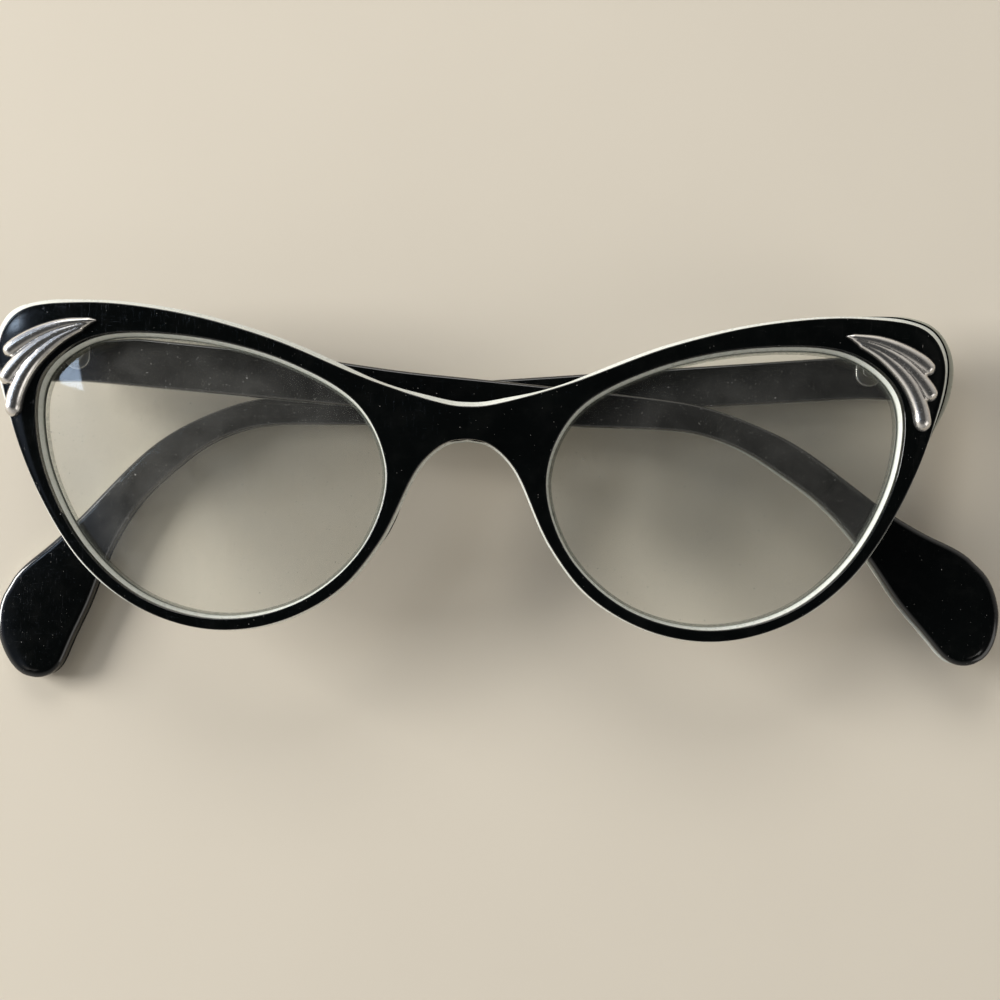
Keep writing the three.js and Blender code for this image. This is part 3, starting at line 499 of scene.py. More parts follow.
def temple_pieces(name, temple, black, white):
    side = temple["side"]
    top_edge, low_edge = temple_edges(temple)
    lay = np.array([-side, 1.0])

    def place(points):
        return from_temple(points, temple)

    a, b = top_edge * lay, low_edge * lay
    face = -TEMPLE_OFFSET
    glue = GLUE

    def softness(loop):
        """The inner face's edge is rounded more on the paddle than on the straight."""
        return 0.45 + 0.55 * smoothstep(np.abs(loop[:, 0]), 96, 112)

    def core_inset(loop, norm):
        """The core stands a little proud on one edge of the paddle and falls back on the other."""
        paddle = smoothstep(np.abs(loop[:, 0]), 62, 92)
        back = 0.38 * smoothstep(norm[:, 0], 0.0, 0.5) * (side > 0)
        return paddle * (back - 0.22 * smoothstep(-norm[:, 0], 0.2, 0.7))

    inner_levels = [(0.0, face - INNER + glue)]
    for t in np.linspace(0, np.pi / 2, 9):
        share = 1 - math.cos(t)
        inner_levels.append((lambda loop, norm, share=share: share * softness(loop),
                             face - 0.6 * (1 - math.sin(t))))
    core_top, core_bottom = face - INNER, face - INNER - CORE
    core_levels = [
        (lambda loop, norm: core_inset(loop, norm) + 0.08, core_bottom + glue),
        (lambda loop, norm: core_inset(loop, norm) + 0.02, (core_top + core_bottom) / 2),
        (core_inset, core_top),
    ]
    outer_bottom = core_bottom - OUTER
    outer_levels = []
    for t in np.linspace(np.pi / 2, 0, 7):
        outer_levels.append((0.45 + 0.45 * (1 - math.cos(t)), outer_bottom + 0.45 * (1 - math.sin(t))))
    outer_levels.append((0.08, core_bottom))
    made = [
        edge_plate(f"{name}_temple_inner_sheet", a, b, inner_levels, [black], place, crown=(0, 0.12)),
        edge_plate(f"{name}_temple_core_sheet", a, b, core_levels, [white], place, columns=2),
        edge_plate(f"{name}_temple_outer_sheet", a, b, outer_levels, [black], place, crown=(0.0, 0)),
    ]
    for piece, layer in zip(made, ("inner", "white", "outer")):
        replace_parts(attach(piece, f"{name}_temple"), f"{name}_temple_{layer}_ply")
    return made


# ---- endpiece blocks ----
def block_edges(side):
    full = outline
    away = [int(np.argmin(np.linalg.norm(full - np.array(p), axis=1))) for p in BLOCK_OUTER_SPAN]
    first, last = away
    index = np.linspace(first, last, 90)
    ii = index.astype(int)
    p, n = full[ii], outline_normals[ii]
    edge = bevel_widths(p, n, side)[1]
    swell = np.sin(np.pi * np.linspace(0, 1, len(p)) ** 1.6)
    outer_edge = p + n * (edge + BLOCK_OVERHANG[side] * swell)[:, None]
    inner_edge = spaced(catmull(list(reversed(BLOCK_INNER_EDGE)), False), 90, False)
    return outer_edge, inner_edge


def endpiece_block(name, side, material):
    outer_edge, inner_edge = block_edges(side)
    flip = np.array([side, 1.0])
    top, bottom = -FRONT - BACK_GAP + 0.1, -FRONT - BLOCK
    levels = []
    for t in np.linspace(np.pi / 2, 0, 6):
        levels.append((0.3 * (1 - math.cos(t)), bottom + 0.3 * (1 - math.sin(t))))
    levels += [(0.0, top - 0.3), (0.12, top - 0.08), (0.3, top)]
    piece = edge_plate(f"{name}_endpiece_backing", outer_edge * flip, inner_edge * flip, levels, [material],
                       from_front, depth=lambda x, y: -(x ** 2) / (2 * BOW_RADIUS), columns=4)
    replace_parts(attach(piece, "front"), f"{name}_endpiece_block")
    return piece


# ---- lenses ----
def lens_piece(name, side, glass, edge_glass):
    loop = rim[::5]
    norm = rim_normals[::5]
    groove = -BLACK - WHITE - BACK / 2
    shoulder = loop + norm * (RIM_LEDGE + 0.06)
    apex = loop + norm * (RIM_LEDGE - 0.6 + 0.1)
    rows, tags = [], []

    def ring(base, share, z):
        p = LENS_CENTRE + (base - LENS_CENTRE) * share
        rows.append(np.stack([p[:, 0] * side, p[:, 1],
                              z + LENS_DOME * (1 - share ** 2) - p[:, 0] ** 2 / (2 * BOW_RADIUS)], axis=1))

    shares = [*np.linspace(0.03, 0.96, 38), 0.985]
    for t in shares:
        ring(shoulder, t, groove - 0.9)
    ring(shoulder, 1, groove - 0.84)
    ring(shoulder, 1, groove - 0.45)
    ring(apex, 1, groove)
    ring(shoulder, 1, groove + 0.45)
    ring(shoulder, 1, groove + 0.84)
    for t in reversed(shares):
        ring(shoulder, t, groove + 0.9)
    grid = np.stack(rows)
    count, around, _ = grid.shape
    points = list(grid.reshape(-1, 3))
    faces = grid_faces(count, around, False, True)
    edge_rows = range(len(shares) - 1, len(shares) + 5)
    slots = [1 if (i // around) in edge_rows else 0 for i in range(len(faces))]
    for row, z in ((0, groove - 0.9), (count - 1, groove + 0.9)):
        middle = len(points)
        points.append(np.array([LENS_CENTRE[0] * side, LENS_CENTRE[1],
                                z + LENS_DOME - LENS_CENTRE[0] ** 2 / (2 * BOW_RADIUS)]))
        for i in range(around):
            faces.append((middle, row * around + i, row * around + (i + 1) % around))
            slots.append(0)
    piece = finish_mesh(f"{name}_lens_glass", from_front(np.array(points)), faces, [glass, edge_glass], slots,
                        smooth=35)
    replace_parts(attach(piece, "front"), f"{name}_lens")
    return piece


# ---- wing ornaments ----
def feather_points(line, halves, side, steps=64, around=28):
    path = catmull(line, False, 60)
    t = np.sin(np.pi / 2 * np.linspace(0, 1, steps) ** 0.8)
    u = np.linspace(0, 1, len(path))
    centre = np.stack([np.interp(t, u, path[:, k]) for k in (0, 1)], axis=1)
    tangent = np.gradient(centre, axis=0)
    tangent /= np.linalg.norm(tangent, axis=1)[:, None]
    width = np.interp(t, np.linspace(0, 1, len(halves)), halves)
    width = np.convolve(np.pad(width, 4, mode="edge"), np.ones(9) / 9, mode="valid")
    past = np.maximum(0, (t - 0.88) / 0.12)
    start = np.clip(t / 0.04, 0, 1)
    width = width * np.sqrt(np.maximum(0.004, 1.0 - past ** 2)) * np.sqrt(np.maximum(0.02, 1 - (1 - start) ** 2))
    crown = (0.42 + 0.72 * width) * (1 - 0.55 * past ** 3)
    angle = np.linspace(0, np.pi, around)
    rows = []
    for c, g, w, h in zip(centre, tangent, width, crown):
        offset = w * np.cos(angle)
        profile = h * np.sin(angle) ** 0.8
        x = c[0] + g[1] * offset
        y = c[1] - g[0] * offset
        rows.append(np.stack([x * side, y, 0.03 + profile], axis=1))
    return np.stack(rows)


def ornament(name, side, material):
    points, faces, start = [], [], 0
    tip, growth = np.array(FEATHERS[0][0][0]), WING_GROWTH[side]
    for line, halves in FEATHERS:
        grid = feather_points(tip + (np.array(line) - tip) * growth, halves, side)
        rows, columns, _ = grid.shape
        floor = grid.copy()
        floor[:, :, 2] = 0.0
        ring = np.concatenate([grid, floor[:, ::-1]], axis=1)
        flat = ring.reshape(-1, 3)
        faces += grid_faces(rows, columns * 2, False, True, start)
        faces.append(tuple(start + k for k in range(columns * 2)))
        faces.append(tuple(start + (rows - 1) * columns * 2 + k for k in reversed(range(columns * 2))))
        points.append(flat)
        start += len(flat)
    p = np.vstack(points)
    p[:, 2] += -(p[:, 0] ** 2) / (2 * BOW_RADIUS) + 0.05
    piece = finish_mesh(f"{name}_feather_ornament", p * MM, faces, [material])
    remesh = piece.modifiers.new("cast", "REMESH")
    remesh.mode = "VOXEL"
    remesh.voxel_size = 0.085 * MM
    remesh.use_smooth_shade = True
    relax = piece.modifiers.new("relax", "SMOOTH")
    relax.factor = 0.5
    relax.iterations = 3
    bake(piece)
    co = np.zeros(len(piece.data.vertices) * 3)
    piece.data.vertices.foreach_get("co", co)
    piece.data.vertices.foreach_set("co", from_front(co.reshape(-1, 3) / MM).ravel())
    piece.data.update()
    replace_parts(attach(piece, "front"), f"{name}_wing_ornament")
    return piece


def bake(obj):
    """Applies an object's modifiers to its mesh."""
    graph = bpy.context.evaluated_depsgraph_get()
    mesh = bpy.data.meshes.new_from_object(obj.evaluated_get(graph), depsgraph=graph)
    old = obj.data
    obj.modifiers.clear()
    obj.data = mesh
    bpy.data.meshes.remove(old)


# ---- turned parts ----
def lathe(name, profile, centre, axis, material, place, sides=40, bore=None, smooth=35):
    """profile is (radius, along) from one end to the other; axis is 'y' or 'z'. With bore, a tube."""
    angle = np.linspace(0, 2 * np.pi, sides, endpoint=False)
    rows = []
    for r, along in profile:
        ca, sa = np.cos(angle) * r, np.sin(angle) * r
        if axis == "y":
            rows.append(np.stack([centre[0] + ca, np.full(sides, along), centre[1] + sa], axis=1))
        else:
            rows.append(np.stack([centre[0] + ca, centre[1] + sa, np.full(sides, along)], axis=1))
    grid = np.stack(rows)
    points = list(grid.reshape(-1, 3))
    faces = grid_faces(len(rows), sides, bore is not None, True)
    if bore is None:
        faces.append(tuple(range(sides)))
        faces.append(tuple((len(rows) - 1) * sides + k for k in reversed(range(sides))))
    return finish_mesh(name, place(np.array(points)), faces, [material], smooth=smooth)


def dome(radius, low, high, rise, steps=6):
    """Profile of a pin with a low head at its bottom end and its top end."""
    bottom = [(radius * math.sin(t), low - rise * math.cos(t)) for t in np.linspace(0.12, np.pi / 2, steps)]
    top = [(radius * math.sin(t), high + rise * math.cos(t)) for t in np.linspace(np.pi / 2, 0.12, steps)]
    return bottom + top


def knuckle_span(k):
    pitch = KNUCKLE_LENGTH + KNUCKLE_GAP
    top = HINGE_Y + (KNUCKLES * pitch - KNUCKLE_GAP) / 2
    return top - k * pitch - KNUCKLE_LENGTH, top - k * pitch


def joined(name, parts):
    """One object from several closed meshes."""
    bm = bmesh.new()
    materials = parts[0].data.materials[:]
    for p in parts:
        bm.from_mesh(p.data)
    mesh = bpy.data.meshes.new(name)
    bm.to_mesh(mesh)
    bm.free()
    for m in materials:
        mesh.materials.append(m)
    obj = bpy.data.objects.new(name, mesh)
    bpy.context.scene.collection.objects.link(obj)
    for p in parts:
        bpy.data.objects.remove(p)
    return obj


def knuckle(k, x, z, material, place):
    low, high = knuckle_span(k)
    r, h, c = KNUCKLE_RADIUS, 0.66, 0.09
    profile = [(h, low + 0.02), (r - c, low), (r - c * 0.3, low + c * 0.3), (r, low + c), (r, high - c),
               (r - c * 0.3, high - c * 0.3), (r - c, high), (h, high - 0.02)]
    return lathe("knuckle", profile, (x, z), "y", material, place, sides=48, bore=True)


def rounded_rect(x0, x1, y0, y1, r, per=10):
    """Left and right halves of a rounded rectangle as two edges with matching heights."""
    t = np.linspace(-np.pi / 2, np.pi / 2, per)
    low = [(r * (1 - math.cos(a)), y0 + r + r * math.sin(a)) for a in np.linspace(-np.pi / 2, 0, per)]
    high = [(r * (1 - math.cos(a)), y1 - r + r * math.sin(a)) for a in np.linspace(0, np.pi / 2, per)]
    side = low + high
    left_edge = np.array([(x0 + dx, y) for dx, y in side])
    right_edge = np.array([(x1 - dx, y) for dx, y in side])
    left_edge[0, 0] += 0.01
    return left_edge, right_edge


def leaf(name, x0, x1, r, bottom, top, material, place):
    a, b = rounded_rect(x0, x1, HINGE_Y - LEAF_HEIGHT / 2, HINGE_Y + LEAF_HEIGHT / 2, r)
    levels = [(0.1, bottom), (0.03, bottom + 0.03), (0.0, bottom + 0.1), (0.0, top - 0.14), (0.05, top - 0.05),
              (0.14, top)]
    return edge_plate(name, a, b, levels, [material], place, columns=3)


def front_leaf(name, side, material):
    place = from_front
    back = HINGE_Z + HINGE_DROP
    xs = sorted((FRONT_LEAF_X[0] * side, FRONT_LEAF_X[1] * side))
    parts = [leaf("plate", xs[0], xs[1], 0.4, back - 0.06, back + LEAF_THICKNESS, material, place)]
    for k in range(0, KNUCKLES, 2):
        low, high = knuckle_span(k)
        parts.append(knuckle(k, HINGE_X * side, HINGE_Z, material, place))
        parts.append(neck(HINGE_X * side, 0.75, low + 0.03, high - 0.03, HINGE_Z + 0.75, back + 0.3, material, place))
    piece = joined(f"{name}_hinge_leaf_on_front", parts)
    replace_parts(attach(piece, "front"), f"{name}_hinge_front_leaf")
    return piece


def neck(x, half_width, y0, y1, z0, z1, material, place):
    a = np.array([(x - half_width, y0), (x - half_width, y1)])
    b = np.array([(x + half_width, y0), (x + half_width, y1)])
    levels = [(0.0, z0), (0.0, z1)]
    return edge_plate("neck", a, b, levels, [material], place, columns=1)


def temple_leaf(name, temple, material):
    side = temple["side"]

    def place(points):
        return from_temple(points, temple)

    bottom = -TEMPLE_OFFSET + 0.05
    top = bottom + LEAF_THICKNESS
    xs = sorted((-side * TEMPLE_LEAF_U[0], -side * TEMPLE_LEAF_U[1]))
    parts = [leaf("plate", xs[0], xs[1], 1.6, bottom, top, material, place)]
    for k in range(1, KNUCKLES, 2):
        low, high = knuckle_span(k)
        parts.append(knuckle(k, 0.0, 0.0, material, place))
        middle = -side * (TEMPLE_LEAF_U[0] + 0.3)
        parts.append(neck(middle, 0.85, low + 0.03, high - 0.03, -KNUCKLE_RADIUS * 0.92, top - 0.08, material, place))
    piece = joined(f"{name}_hinge_leaf_on_temple", parts)
    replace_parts(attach(piece, f"{name}_temple"), f"{name}_hinge_temple_leaf")
    rivet_low = -TEMPLE_OFFSET - INNER - CORE - OUTER
    rivet = lathe(f"{name}_temple_rivet_head", dome(0.62, rivet_low, top + 0.04, 0.1), (-side * RIVET_U, HINGE_Y), "z",
                  material, place)
    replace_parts(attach(rivet, f"{name}_temple"), f"{name}_temple_rivet")
    return piece


def hinge_screw(name, side, material):
    low, high = knuckle_span(KNUCKLES - 1)[0], knuckle_span(0)[1]
    seat = high + 0.05
    profile = [(0.1, low - 0.4), (0.42, low - 0.4), (0.56, low - 0.28), (0.6, low - 0.12), (0.6, seat), (1.05, seat),
               (1.15, seat + 0.08), (1.15, seat + 0.36), (1.08, seat + 0.5), (0.9, seat + 0.61), (0.6, seat + 0.65),
               (0.1, seat + 0.66)]
    x = HINGE_X * side
    screw = lathe(f"{name}_hinge_pin_screw", profile, (x, HINGE_Z), "y", material, from_front, sides=48)
    a = np.array([(x - 0.15, seat + 0.36), (x - 0.15, seat + 1)])
    b = np.array([(x + 0.15, seat + 0.36), (x + 0.15, seat + 1)])
    cutter = edge_plate("slot", a, b, [(0, HINGE_Z - 2), (0, HINGE_Z + 2)], [material], from_front, columns=1)
    cut = screw.modifiers.new("slot", "BOOLEAN")
    cut.object = cutter
    cut.solver = "EXACT"
    bake(screw)
    bpy.data.objects.remove(cutter)
    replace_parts(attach(screw, "front"), f"{name}_hinge_screw")
    return screw


def wing_pins(name, side, material):
    for which, (x, y) in WING_PINS.items():
        z = -(x ** 2) / (2 * BOW_RADIUS)
        pin = lathe(f"{name}_ornament_pin_{which}", dome(0.58, z - FRONT - BLOCK - 0.02, z - 0.2, 0.1),
                    (x * side, y), "z", material, from_front)
        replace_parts(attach(pin, "front"), f"{name}_wing_pin_{which}")


# ---- nose pads ----
def nose_pad(name, side, material):
    angle = np.linspace(0, 2 * np.pi, 56, endpoint=False)
    lean = -20 * DEG
    rows = []
    levels = [(1.04, 0.0), (1.0, 0.25), (0.985, 0.7), (0.95, 1.2), (0.88, 1.7), (0.76, 2.1), (0.58, 2.4), (0.35, 2.56),
              (0.12, 2.62)]
    for scale, height in levels:
        along, acrosswise = np.cos(angle) * 5.2 * scale, np.sin(angle) * 1.25 * scale
        x = 10.3 + acrosswise * math.cos(lean) + along * math.sin(lean)
        y = -4.2 + along * math.cos(lean) - acrosswise * math.sin(lean)
        z = -FRONT + 0.02 - height - x ** 2 / (2 * BOW_RADIUS)
        rows.append(np.stack([x * side, y, z], axis=1))
    grid = np.stack(rows)
    faces = grid_faces(len(rows), len(angle), False, True)
    faces.append(tuple(range(len(angle))))
    faces.append(tuple((len(rows) - 1) * len(angle) + k for k in reversed(range(len(angle)))))
    piece = finish_mesh(f"{name}_nose_rest", from_front(grid.reshape(-1, 3)), faces, [material], smooth=60)
    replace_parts(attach(piece, "front"), f"{name}_nose_pad")
    return piece


# ---- materials ----
class Nodes:
    """A short way to wire a material's nodes; texture coordinates are in millimetres."""

    def __init__(self, name):
        self.material = bpy.data.materials.new(name)
        self.material.use_nodes = True
        self.tree = self.material.node_tree
        self.tree.nodes.clear()
        self.out = self.tree.nodes.new("ShaderNodeOutputMaterial")
        coords = self.tree.nodes.new("ShaderNodeTexCoord")
        self.mm = self.vector("SCALE", coords.outputs["Object"], scale=1 / MM)

    def node(self, kind, links=None, **settings):
        n = self.tree.nodes.new(kind)
        for key, value in settings.items():
            setattr(n, key, value)
        for key, value in (links or {}).items():
            socket = n.inputs[key]
            if isinstance(value, bpy.types.NodeSocket):
                self.tree.links.new(value, socket)
            else:
                socket.default_value = value
        return n

    def vector(self, operation, a, b=None, scale=None):
        n = self.node("ShaderNodeVectorMath", {0: a}, operation=operation)
        if b is not None:
            n.inputs[1].default_value = b
        if scale is not None:
            n.inputs["Scale"].default_value = scale
        return n.outputs[0]

    def math(self, operation, a, b=0.0, clamp=False):
        return self.node("ShaderNodeMath", {0: a, 1: b}, operation=operation, use_clamp=clamp).outputs[0]

    def noise(self, scale, detail=3.0, rough=0.5, stretch=None, turn=0.0, distortion=0.0):
        v = self.mm
        if stretch or turn:
            v = self.node("ShaderNodeMapping", {"Vector": v, "Rotation": (0, 0, turn),
                                                "Scale": stretch or (1, 1, 1)}).outputs[0]
        return self.node("ShaderNodeTexNoise", {"Vector": v, "Scale": scale, "Detail": detail, "Roughness": rough,
                                                "Distortion": distortion}).outputs["Fac"]

    def ramp(self, value, low, high, to_low=0.0, to_high=1.0):
        return self.node("ShaderNodeMapRange", {"Value": value, "From Min": low, "From Max": high,
                                                "To Min": to_low, "To Max": to_high}).outputs["Result"]

    def specks(self, scale, size, share, stretch=None, turn=0.0):
        """Separate dots: 1 inside a dot. size is the dot's radius in cells, share how many cells have one."""
        v = self.mm
        if stretch:
            v = self.node("ShaderNodeMapping", {"Vector": v, "Rotation": (0, 0, turn), "Scale": stretch}).outputs[0]
        cell = self.node("ShaderNodeTexVoronoi", {"Vector": v, "Scale": scale}, feature="F1")
        pick = self.node("ShaderNodeSeparateColor", {"Color": cell.outputs["Color"]})
        chosen = self.math("GREATER_THAN", pick.outputs["Red"], 1 - share)
        radius = self.math("MULTIPLY", pick.outputs["Green"], size)
        inside = self.math("SUBTRACT", radius, cell.outputs["Distance"])
        soft = self.ramp(inside, 0.0, size * 0.35)
        return self.math("MULTIPLY", soft, chosen)

    def mix(self, fac, a, b):
        n = self.node("ShaderNodeMix", data_type="RGBA")
        for socket, value in ((n.inputs[0], fac), (n.inputs[6], a), (n.inputs[7], b)):
            if isinstance(value, bpy.types.NodeSocket):
                self.tree.links.new(value, socket)
            else:
                socket.default_value = value
        return n.outputs[2]

    def bump(self, height, strength, distance, normal=None):
        links = {"Height": height, "Strength": strength, "Distance": distance}
        if normal is not None:
            links["Normal"] = normal
        return self.node("ShaderNodeBump", links).outputs["Normal"]

    def surface(self, shader):
        self.tree.links.new(shader, self.out.inputs["Surface"])
        return self.material


def rgb(r, g, b):
    return (r, g, b, 1.0)


def black_acetate(name, dust, sheen):
    m = Nodes(name)
    cloud = m.noise(0.09, 3)
    dots = m.specks(1.5, 0.13, 0.10 * dust)
    fine = m.specks(3.2, 0.17, 0.12 * dust)
    lint = m.specks(0.8, 0.09, 0.16 * dust, stretch=(1.0, 0.22, 1.0), turn=0.5)
    film = m.ramp(m.noise(0.35, 4, 0.6), 0.48, 0.85, 0.0, 0.35)
    dirt = m.math("MAXIMUM", m.math("MAXIMUM", dots, fine), m.math("MULTIPLY", lint, 0.6))
    base = m.mix(cloud, rgb(0.0008, 0.0011, 0.0010), rgb(0.0022, 0.0027, 0.0026))
    base = m.mix(m.math("MULTIPLY", film, 0.02 * dust), base, rgb(0.35, 0.33, 0.3))
    base = m.mix(m.math("MULTIPLY", dirt, 0.5), base, rgb(0.42, 0.4, 0.37))
    hair_a = m.ramp(m.noise(1.0, 2, 0.5, stretch=(9.0, 0.5, 1.0), turn=0.35), 0.66, 0.72)
    hair_b = m.ramp(m.noise(1.0, 2, 0.5, stretch=(0.6, 8.0, 1.0), turn=-0.5), 0.68, 0.73)
    marks = m.math("MAXIMUM", hair_a, hair_b)
    rough = m.ramp(m.noise(0.5, 4, 0.6), 0.3, 0.8, sheen, sheen + 0.1)
    rough = m.math("ADD", rough, m.math("MULTIPLY", marks, 0.08))
    rough = m.math("ADD", rough, m.math("MULTIPLY", dirt, 0.4), clamp=True)
    wave = m.bump(m.noise(0.22, 2), 0.25, 0.00004)
    relief = m.bump(m.math("SUBTRACT", dirt, marks), 0.35, 0.000012, wave)
    shader = m.node("ShaderNodeBsdfPrincipled", {"Base Color": base, "Roughness": rough, "IOR": 1.5,
                                                 "Normal": relief, "Coat Weight": 0.25, "Coat Roughness": 0.06})
    return m.surface(shader.outputs[0])


def light_acetate(name, low, high, rough_low=0.22, rough_high=0.4):
    m = Nodes(name)
    tone = m.mix(m.noise(0.5, 4, 0.6), rgb(*low), rgb(*high))
    grime = m.ramp(m.noise(2.6, 5, 0.65), 0.56, 0.8, 0.0, 0.35)
    tone = m.mix(grime, tone, rgb(0.3, 0.28, 0.23))
    dots = m.specks(3.0, 0.14, 0.1)
    tone = m.mix(m.math("MULTIPLY", dots, 0.6), tone, rgb(0.16, 0.15, 0.13))
    rough = m.ramp(m.noise(1.4, 4), 0.3, 0.7, rough_low, rough_high)
    relief = m.bump(m.noise(4.0, 4, 0.6), 0.25, 0.00001)
    shader = m.node("ShaderNodeBsdfPrincipled", {
        "Base Color": tone, "Roughness": rough, "Normal": relief, "Subsurface Weight": 0.12,
        "Subsurface Radius": (0.0012, 0.001, 0.0008), "Subsurface Scale": 1.0})
    return m.surface(shader.outputs[0])


def metal(name, bright, dark, rough_low, rough_high, grain=(1.0, 1.0, 1.0), shine=1.0):
    m = Nodes(name)
    worn = m.noise(0.9, 5, 0.6)
    tone = m.mix(worn, rgb(*dark), rgb(*bright))
    tarnish = m.ramp(m.noise(2.2, 5, 0.7), 0.56, 0.78, 0.0, 0.6)
    tone = m.mix(tarnish, tone, rgb(dark[0] * 0.45, dark[1] * 0.4, dark[2] * 0.36))
    rough = m.ramp(m.noise(3.0, 5, 0.6, stretch=grain), 0.3, 0.75, rough_low, rough_high)
    scratches = m.noise(6.0, 3, 0.6, stretch=(1.0, 0.12, 1.0), turn=0.8)
    pits = m.specks(3.2, 0.12, 0.08)
    relief = m.bump(m.noise(1.3, 3), 0.3, 0.00003)
    relief = m.bump(m.math("SUBTRACT", m.math("MULTIPLY", scratches, 0.35), pits), 0.35, 0.000012, relief)
    shader = m.node("ShaderNodeBsdfPrincipled", {"Base Color": tone, "Roughness": rough, "Metallic": shine,
                                                 "Normal": relief})
    return m.surface(shader.outputs[0])


def lens_glass(name):
    m = Nodes(name)
    film = m.ramp(m.noise(0.16, 4, 0.6, distortion=0.4), 0.35, 0.75, 0.014, 0.036)
    dots = m.math("MAXIMUM", m.specks(1.5, 0.1, 0.12), m.specks(2.9, 0.13, 0.14))
    dust = m.math("MAXIMUM", m.specks(0.9, 0.13, 0.35), m.math("MULTIPLY", m.specks(2.2, 0.24, 0.4), 0.7))
    lint = m.specks(0.7, 0.08, 0.12, stretch=(0.25, 1.0, 1.0), turn=-0.4)
    dots = m.math("MAXIMUM", dots, m.math("MULTIPLY", dust, 0.6))
    across = m.node("ShaderNodeSeparateXYZ", {0: m.mm}).outputs["X"]
    veil = m.math("MAXIMUM", film, m.math("MULTIPLY", m.math("MAXIMUM", dots, lint), 0.35))
    veil = m.math("MULTIPLY", veil, m.ramp(across, -60.0, 20.0, 1.7, 1.0))
    shade = m.node("ShaderNodeLightPath").outputs["Is Shadow Ray"]
    tint = m.mix(shade, rgb(0.955, 0.965, 0.955), rgb(0.68, 0.67, 0.65))
    clear = m.node("ShaderNodeBsdfTransparent", {"Color": tint})
    haze = m.node("ShaderNodeBsdfDiffuse", {"Color": rgb(0.75, 0.74, 0.7)})
    shine = m.node("ShaderNodeBsdfGlossy", {"Color": rgb(0.95, 0.97, 1.0), "Roughness": 0.02})
    inside = m.node("ShaderNodeNewGeometry").outputs["Backfacing"]
    edge = m.math("MULTIPLY", m.node("ShaderNodeFresnel", {"IOR": 1.5}).outputs[0], m.math("SUBTRACT", 1.0, inside))
    hazy = m.node("ShaderNodeMixShader", {0: veil, 1: clear.outputs[0], 2: haze.outputs[0]})
    full = m.node("ShaderNodeMixShader", {0: edge, 1: hazy.outputs[0], 2: shine.outputs[0]})
    return m.surface(full.outputs[0])


def lens_rim(name):
    m = Nodes(name)
    tone = m.mix(m.noise(1.2, 4), rgb(0.16, 0.17, 0.15), rgb(0.28, 0.29, 0.26))
    frost = m.node("ShaderNodeBsdfPrincipled", {"Base Color": tone, "Roughness": 0.35})
    clear = m.node("ShaderNodeBsdfTransparent", {"Color": rgb(0.85, 0.87, 0.85)})
    share = m.ramp(m.noise(3.0, 3), 0.3, 0.7, 0.25, 0.45)
    full = m.node("ShaderNodeMixShader", {0: share, 1: clear.outputs[0], 2: frost.outputs[0]})
    return m.surface(full.outputs[0])


def floor_material():
    m = Nodes("pale_floor")
    tone = m.mix(m.noise(0.02, 3), rgb(0.60, 0.545, 0.455), rgb(0.64, 0.585, 0.49))
    relief = m.bump(m.noise(0.8, 4), 0.1, 0.00005)
    shader = m.node("ShaderNodeBsdfPrincipled", {"Base Color": tone, "Roughness": 0.75, "Normal": relief,
                                                 "Specular IOR Level": 0.25})
    return m.surface(shader.outputs[0])


FACE_BLACK = black_acetate("polished_black_acetate", 1.0, 0.06)
TEMPLE_BLACK = black_acetate("handled_black_acetate", 1.3, 0.1)
WHITE_EDGE = light_acetate("white_acetate_edge", (0.58, 0.60, 0.54), (0.70, 0.71, 0.66))
PALE_BLOCK = light_acetate("pale_acetate", (0.30, 0.30, 0.24), (0.40, 0.40, 0.33))
SILVER = metal("polished_silver", (0.80, 0.78, 0.75), (0.58, 0.55, 0.52), 0.16, 0.3, shine=0.95)
NICKEL = metal("satin_nickel", (0.62, 0.61, 0.58), (0.45, 0.44, 0.41), 0.28, 0.45, grain=(1.0, 6.0, 1.0))
STEEL = metal("screw_steel", (0.55, 0.55, 0.54), (0.38, 0.37, 0.36), 0.25, 0.4)
GLASS = lens_glass("clear_lens")
GLASS_EDGE = lens_rim("ground_lens_edge")

# ---- the object ----
for piece, node, slot in (
        (front_black(FACE_BLACK), "front_black_ply", "black_acetate"),
        (front_white(WHITE_EDGE), "front_white_ply", "white_acetate"),
        (front_back(TEMPLE_BLACK), "front_back_ply", "black_acetate")):
    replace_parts(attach(piece, "front"), node)
for label, sign in SIDES.items():
    endpiece_block(label, sign, PALE_BLOCK)
    lens_piece(label, sign, GLASS, GLASS_EDGE)
    ornament(label, sign, SILVER)
    nose_pad(label, sign, FACE_BLACK)
    front_leaf(label, sign, NICKEL)
    hinge_screw(label, sign, STEEL)
    wing_pins(label, sign, NICKEL)
for label, shape in TEMPLES.items():
    temple_pieces(label, shape, TEMPLE_BLACK, WHITE_EDGE)
    temple_leaf(label, shape, NICKEL)

# ---- floor ----
floor_mesh = bpy.data.meshes.new("floor")
floor_mesh.from_pydata([(-2, -2, 0), (2, -2, 0), (2, 2, 0), (-2, 2, 0)], [], [(0, 1, 2, 3)])
floor_mesh.materials.append(floor_material())
floor = bpy.data.objects.new("floor", floor_mesh)
floor.location.z = -0.00005
bpy.context.scene.collection.objects.link(floor)

# ---- light ----
def area_light(name, location, size, power, colour, target=(0, 0, 0)):
    data = bpy.data.lights.new(name, "AREA")
    data.shape = "RECTANGLE"
    data.size, data.size_y = size
    data.energy = power
    data.color = colour
    light = bpy.data.objects.new(name, data)
    light.location = location
    light.rotation_euler = (Vector(target) - Vector(location)).to_track_quat("-Z", "Y").to_euler()
    bpy.context.scene.collection.objects.link(light)
    return light


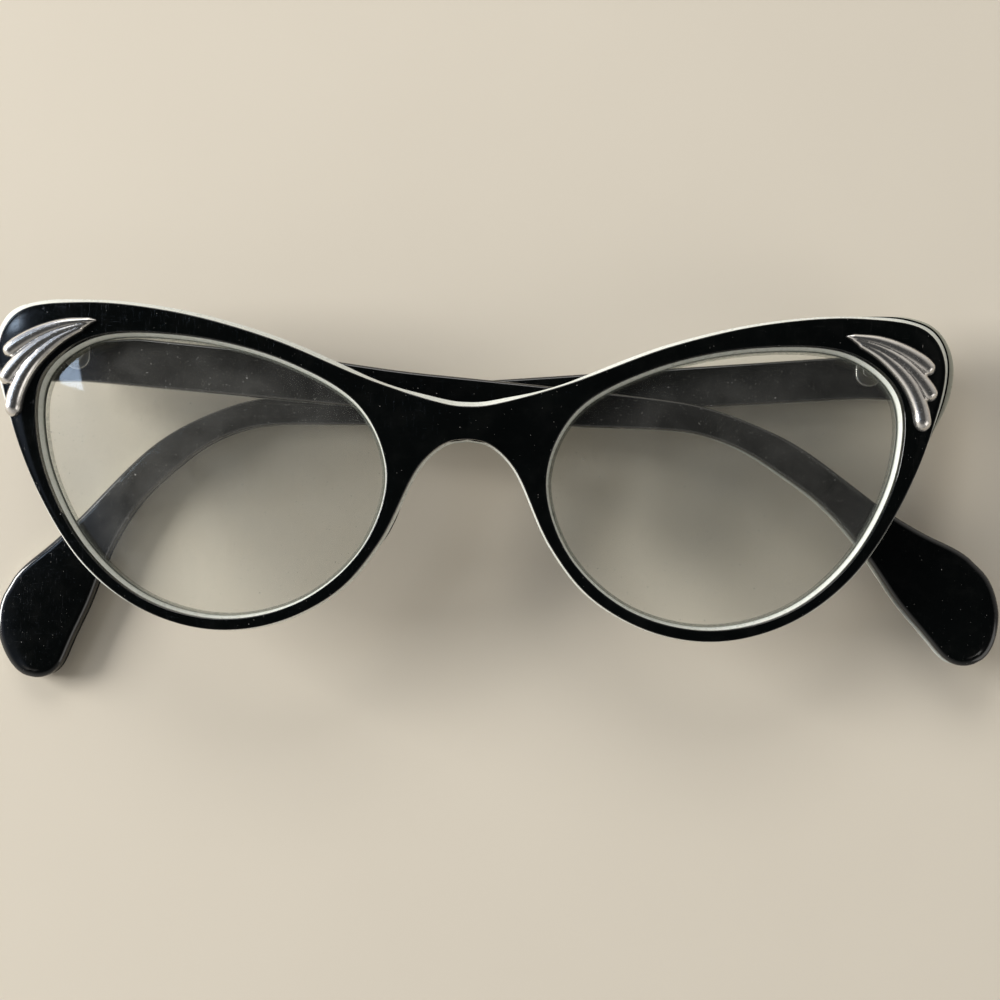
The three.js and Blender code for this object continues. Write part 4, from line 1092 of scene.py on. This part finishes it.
def studio_world():
    """Soft surroundings: dark overhead, pale to the sides, and a cool window low on the left."""
    world = bpy.data.worlds.new("studio")
    world.use_nodes = True
    tree = world.node_tree
    tree.nodes.clear()
    out = tree.nodes.new("ShaderNodeOutputWorld")
    back = tree.nodes.new("ShaderNodeBackground")
    coords = tree.nodes.new("ShaderNodeTexCoord")
    split = tree.nodes.new("ShaderNodeSeparateXYZ")
    tree.links.new(coords.outputs["Generated"], split.inputs[0])

    def calc(operation, a, b=0.0, clamp=False):
        n = tree.nodes.new("ShaderNodeMath")
        n.operation, n.use_clamp = operation, clamp
        for socket, value in zip(n.inputs, (a, b)):
            if isinstance(value, bpy.types.NodeSocket):
                tree.links.new(value, socket)
            else:
                socket.default_value = value
        return n.outputs[0]

    def blend(fac, a, b):
        n = tree.nodes.new("ShaderNodeMix")
        n.data_type = "RGBA"
        for socket, value in ((n.inputs[0], fac), (n.inputs[6], a), (n.inputs[7], b)):
            if isinstance(value, bpy.types.NodeSocket):
                tree.links.new(value, socket)
            else:
                socket.default_value = value
        return n.outputs[2]

    def span(value, low, high):
        return calc("MULTIPLY", calc("SUBTRACT", value, low), 1 / (high - low), clamp=True)

    x, y, z = split.outputs
    side = span(calc("SQRT", calc("SUBTRACT", 1.0, calc("MULTIPLY", z, z))), 0.5, 0.98)
    lean = calc("ADD", calc("MULTIPLY", x, -0.35), calc("MULTIPLY", y, 0.27))
    side = calc("MULTIPLY", side, calc("ADD", lean, 0.65, clamp=True))
    colour = blend(side, rgb(0.010, 0.012, 0.014), rgb(1.28, 1.23, 1.15))
    across_sky, along_sky = calc("DIVIDE", x, z), calc("DIVIDE", y, z)
    sky = calc("MULTIPLY", span(calc("MULTIPLY", across_sky, -1.0), 0.47, 0.6), span(along_sky, -0.5, 0.1))
    colour = blend(calc("MULTIPLY", sky, span(z, 0.1, 0.3)), colour, rgb(0.30, 0.36, 0.48))
    pane = calc("MULTIPLY", span(calc("ABSOLUTE", calc("ADD", across_sky, 0.60)), 0.041, 0.033),
                span(calc("ABSOLUTE", calc("SUBTRACT", along_sky, 0.275)), 0.068, 0.056))
    pane = calc("MULTIPLY", pane, span(z, 0.1, 0.3))
    colour = blend(pane, colour, rgb(6.0, 7.5, 9.5))
    tree.links.new(colour, back.inputs["Color"])
    back.inputs["Strength"].default_value = 1.0
    tree.links.new(back.outputs[0], out.inputs["Surface"])
    bpy.context.scene.world = world


studio_world()
area_light("window", (-1.12, 0.22, 0.50), (0.65, 0.45), 22.5, (1.0, 0.985, 0.955))
area_light("far_window", (-0.25, 1.0, 0.75), (0.7, 0.5), 5.0, (1.0, 0.985, 0.96))
area_light("fill", (0.75, -0.4, 0.45), (0.6, 0.6), 1.5, (1.0, 0.97, 0.93))

# ---- camera, fixed to the front's frame ----
CAMERA_AT = (7.36, -9.65, 198.1)
CAMERA_AXES = np.array([[0.9996, 0.0238, -0.0134], [-0.0233, 0.9991, 0.0349], [0.0142, -0.0346, 0.9993]])
camera_data = bpy.data.cameras.new("camera")
camera_data.sensor_width = 36
camera_data.lens = 54
camera_data.clip_start = 0.005
camera_data.clip_end = 20
camera = bpy.data.objects.new("camera", camera_data)
turn = FRONT_AXES @ CAMERA_AXES.T
place_at = from_front(np.array([CAMERA_AT]))[0]
camera.matrix_world = Matrix.Translation(Vector(place_at)) @ Matrix([tuple(r) for r in turn]).to_4x4()
bpy.context.scene.collection.objects.link(camera)
bpy.context.scene.camera = camera
bpy.context.scene.view_settings.view_transform = "Standard"
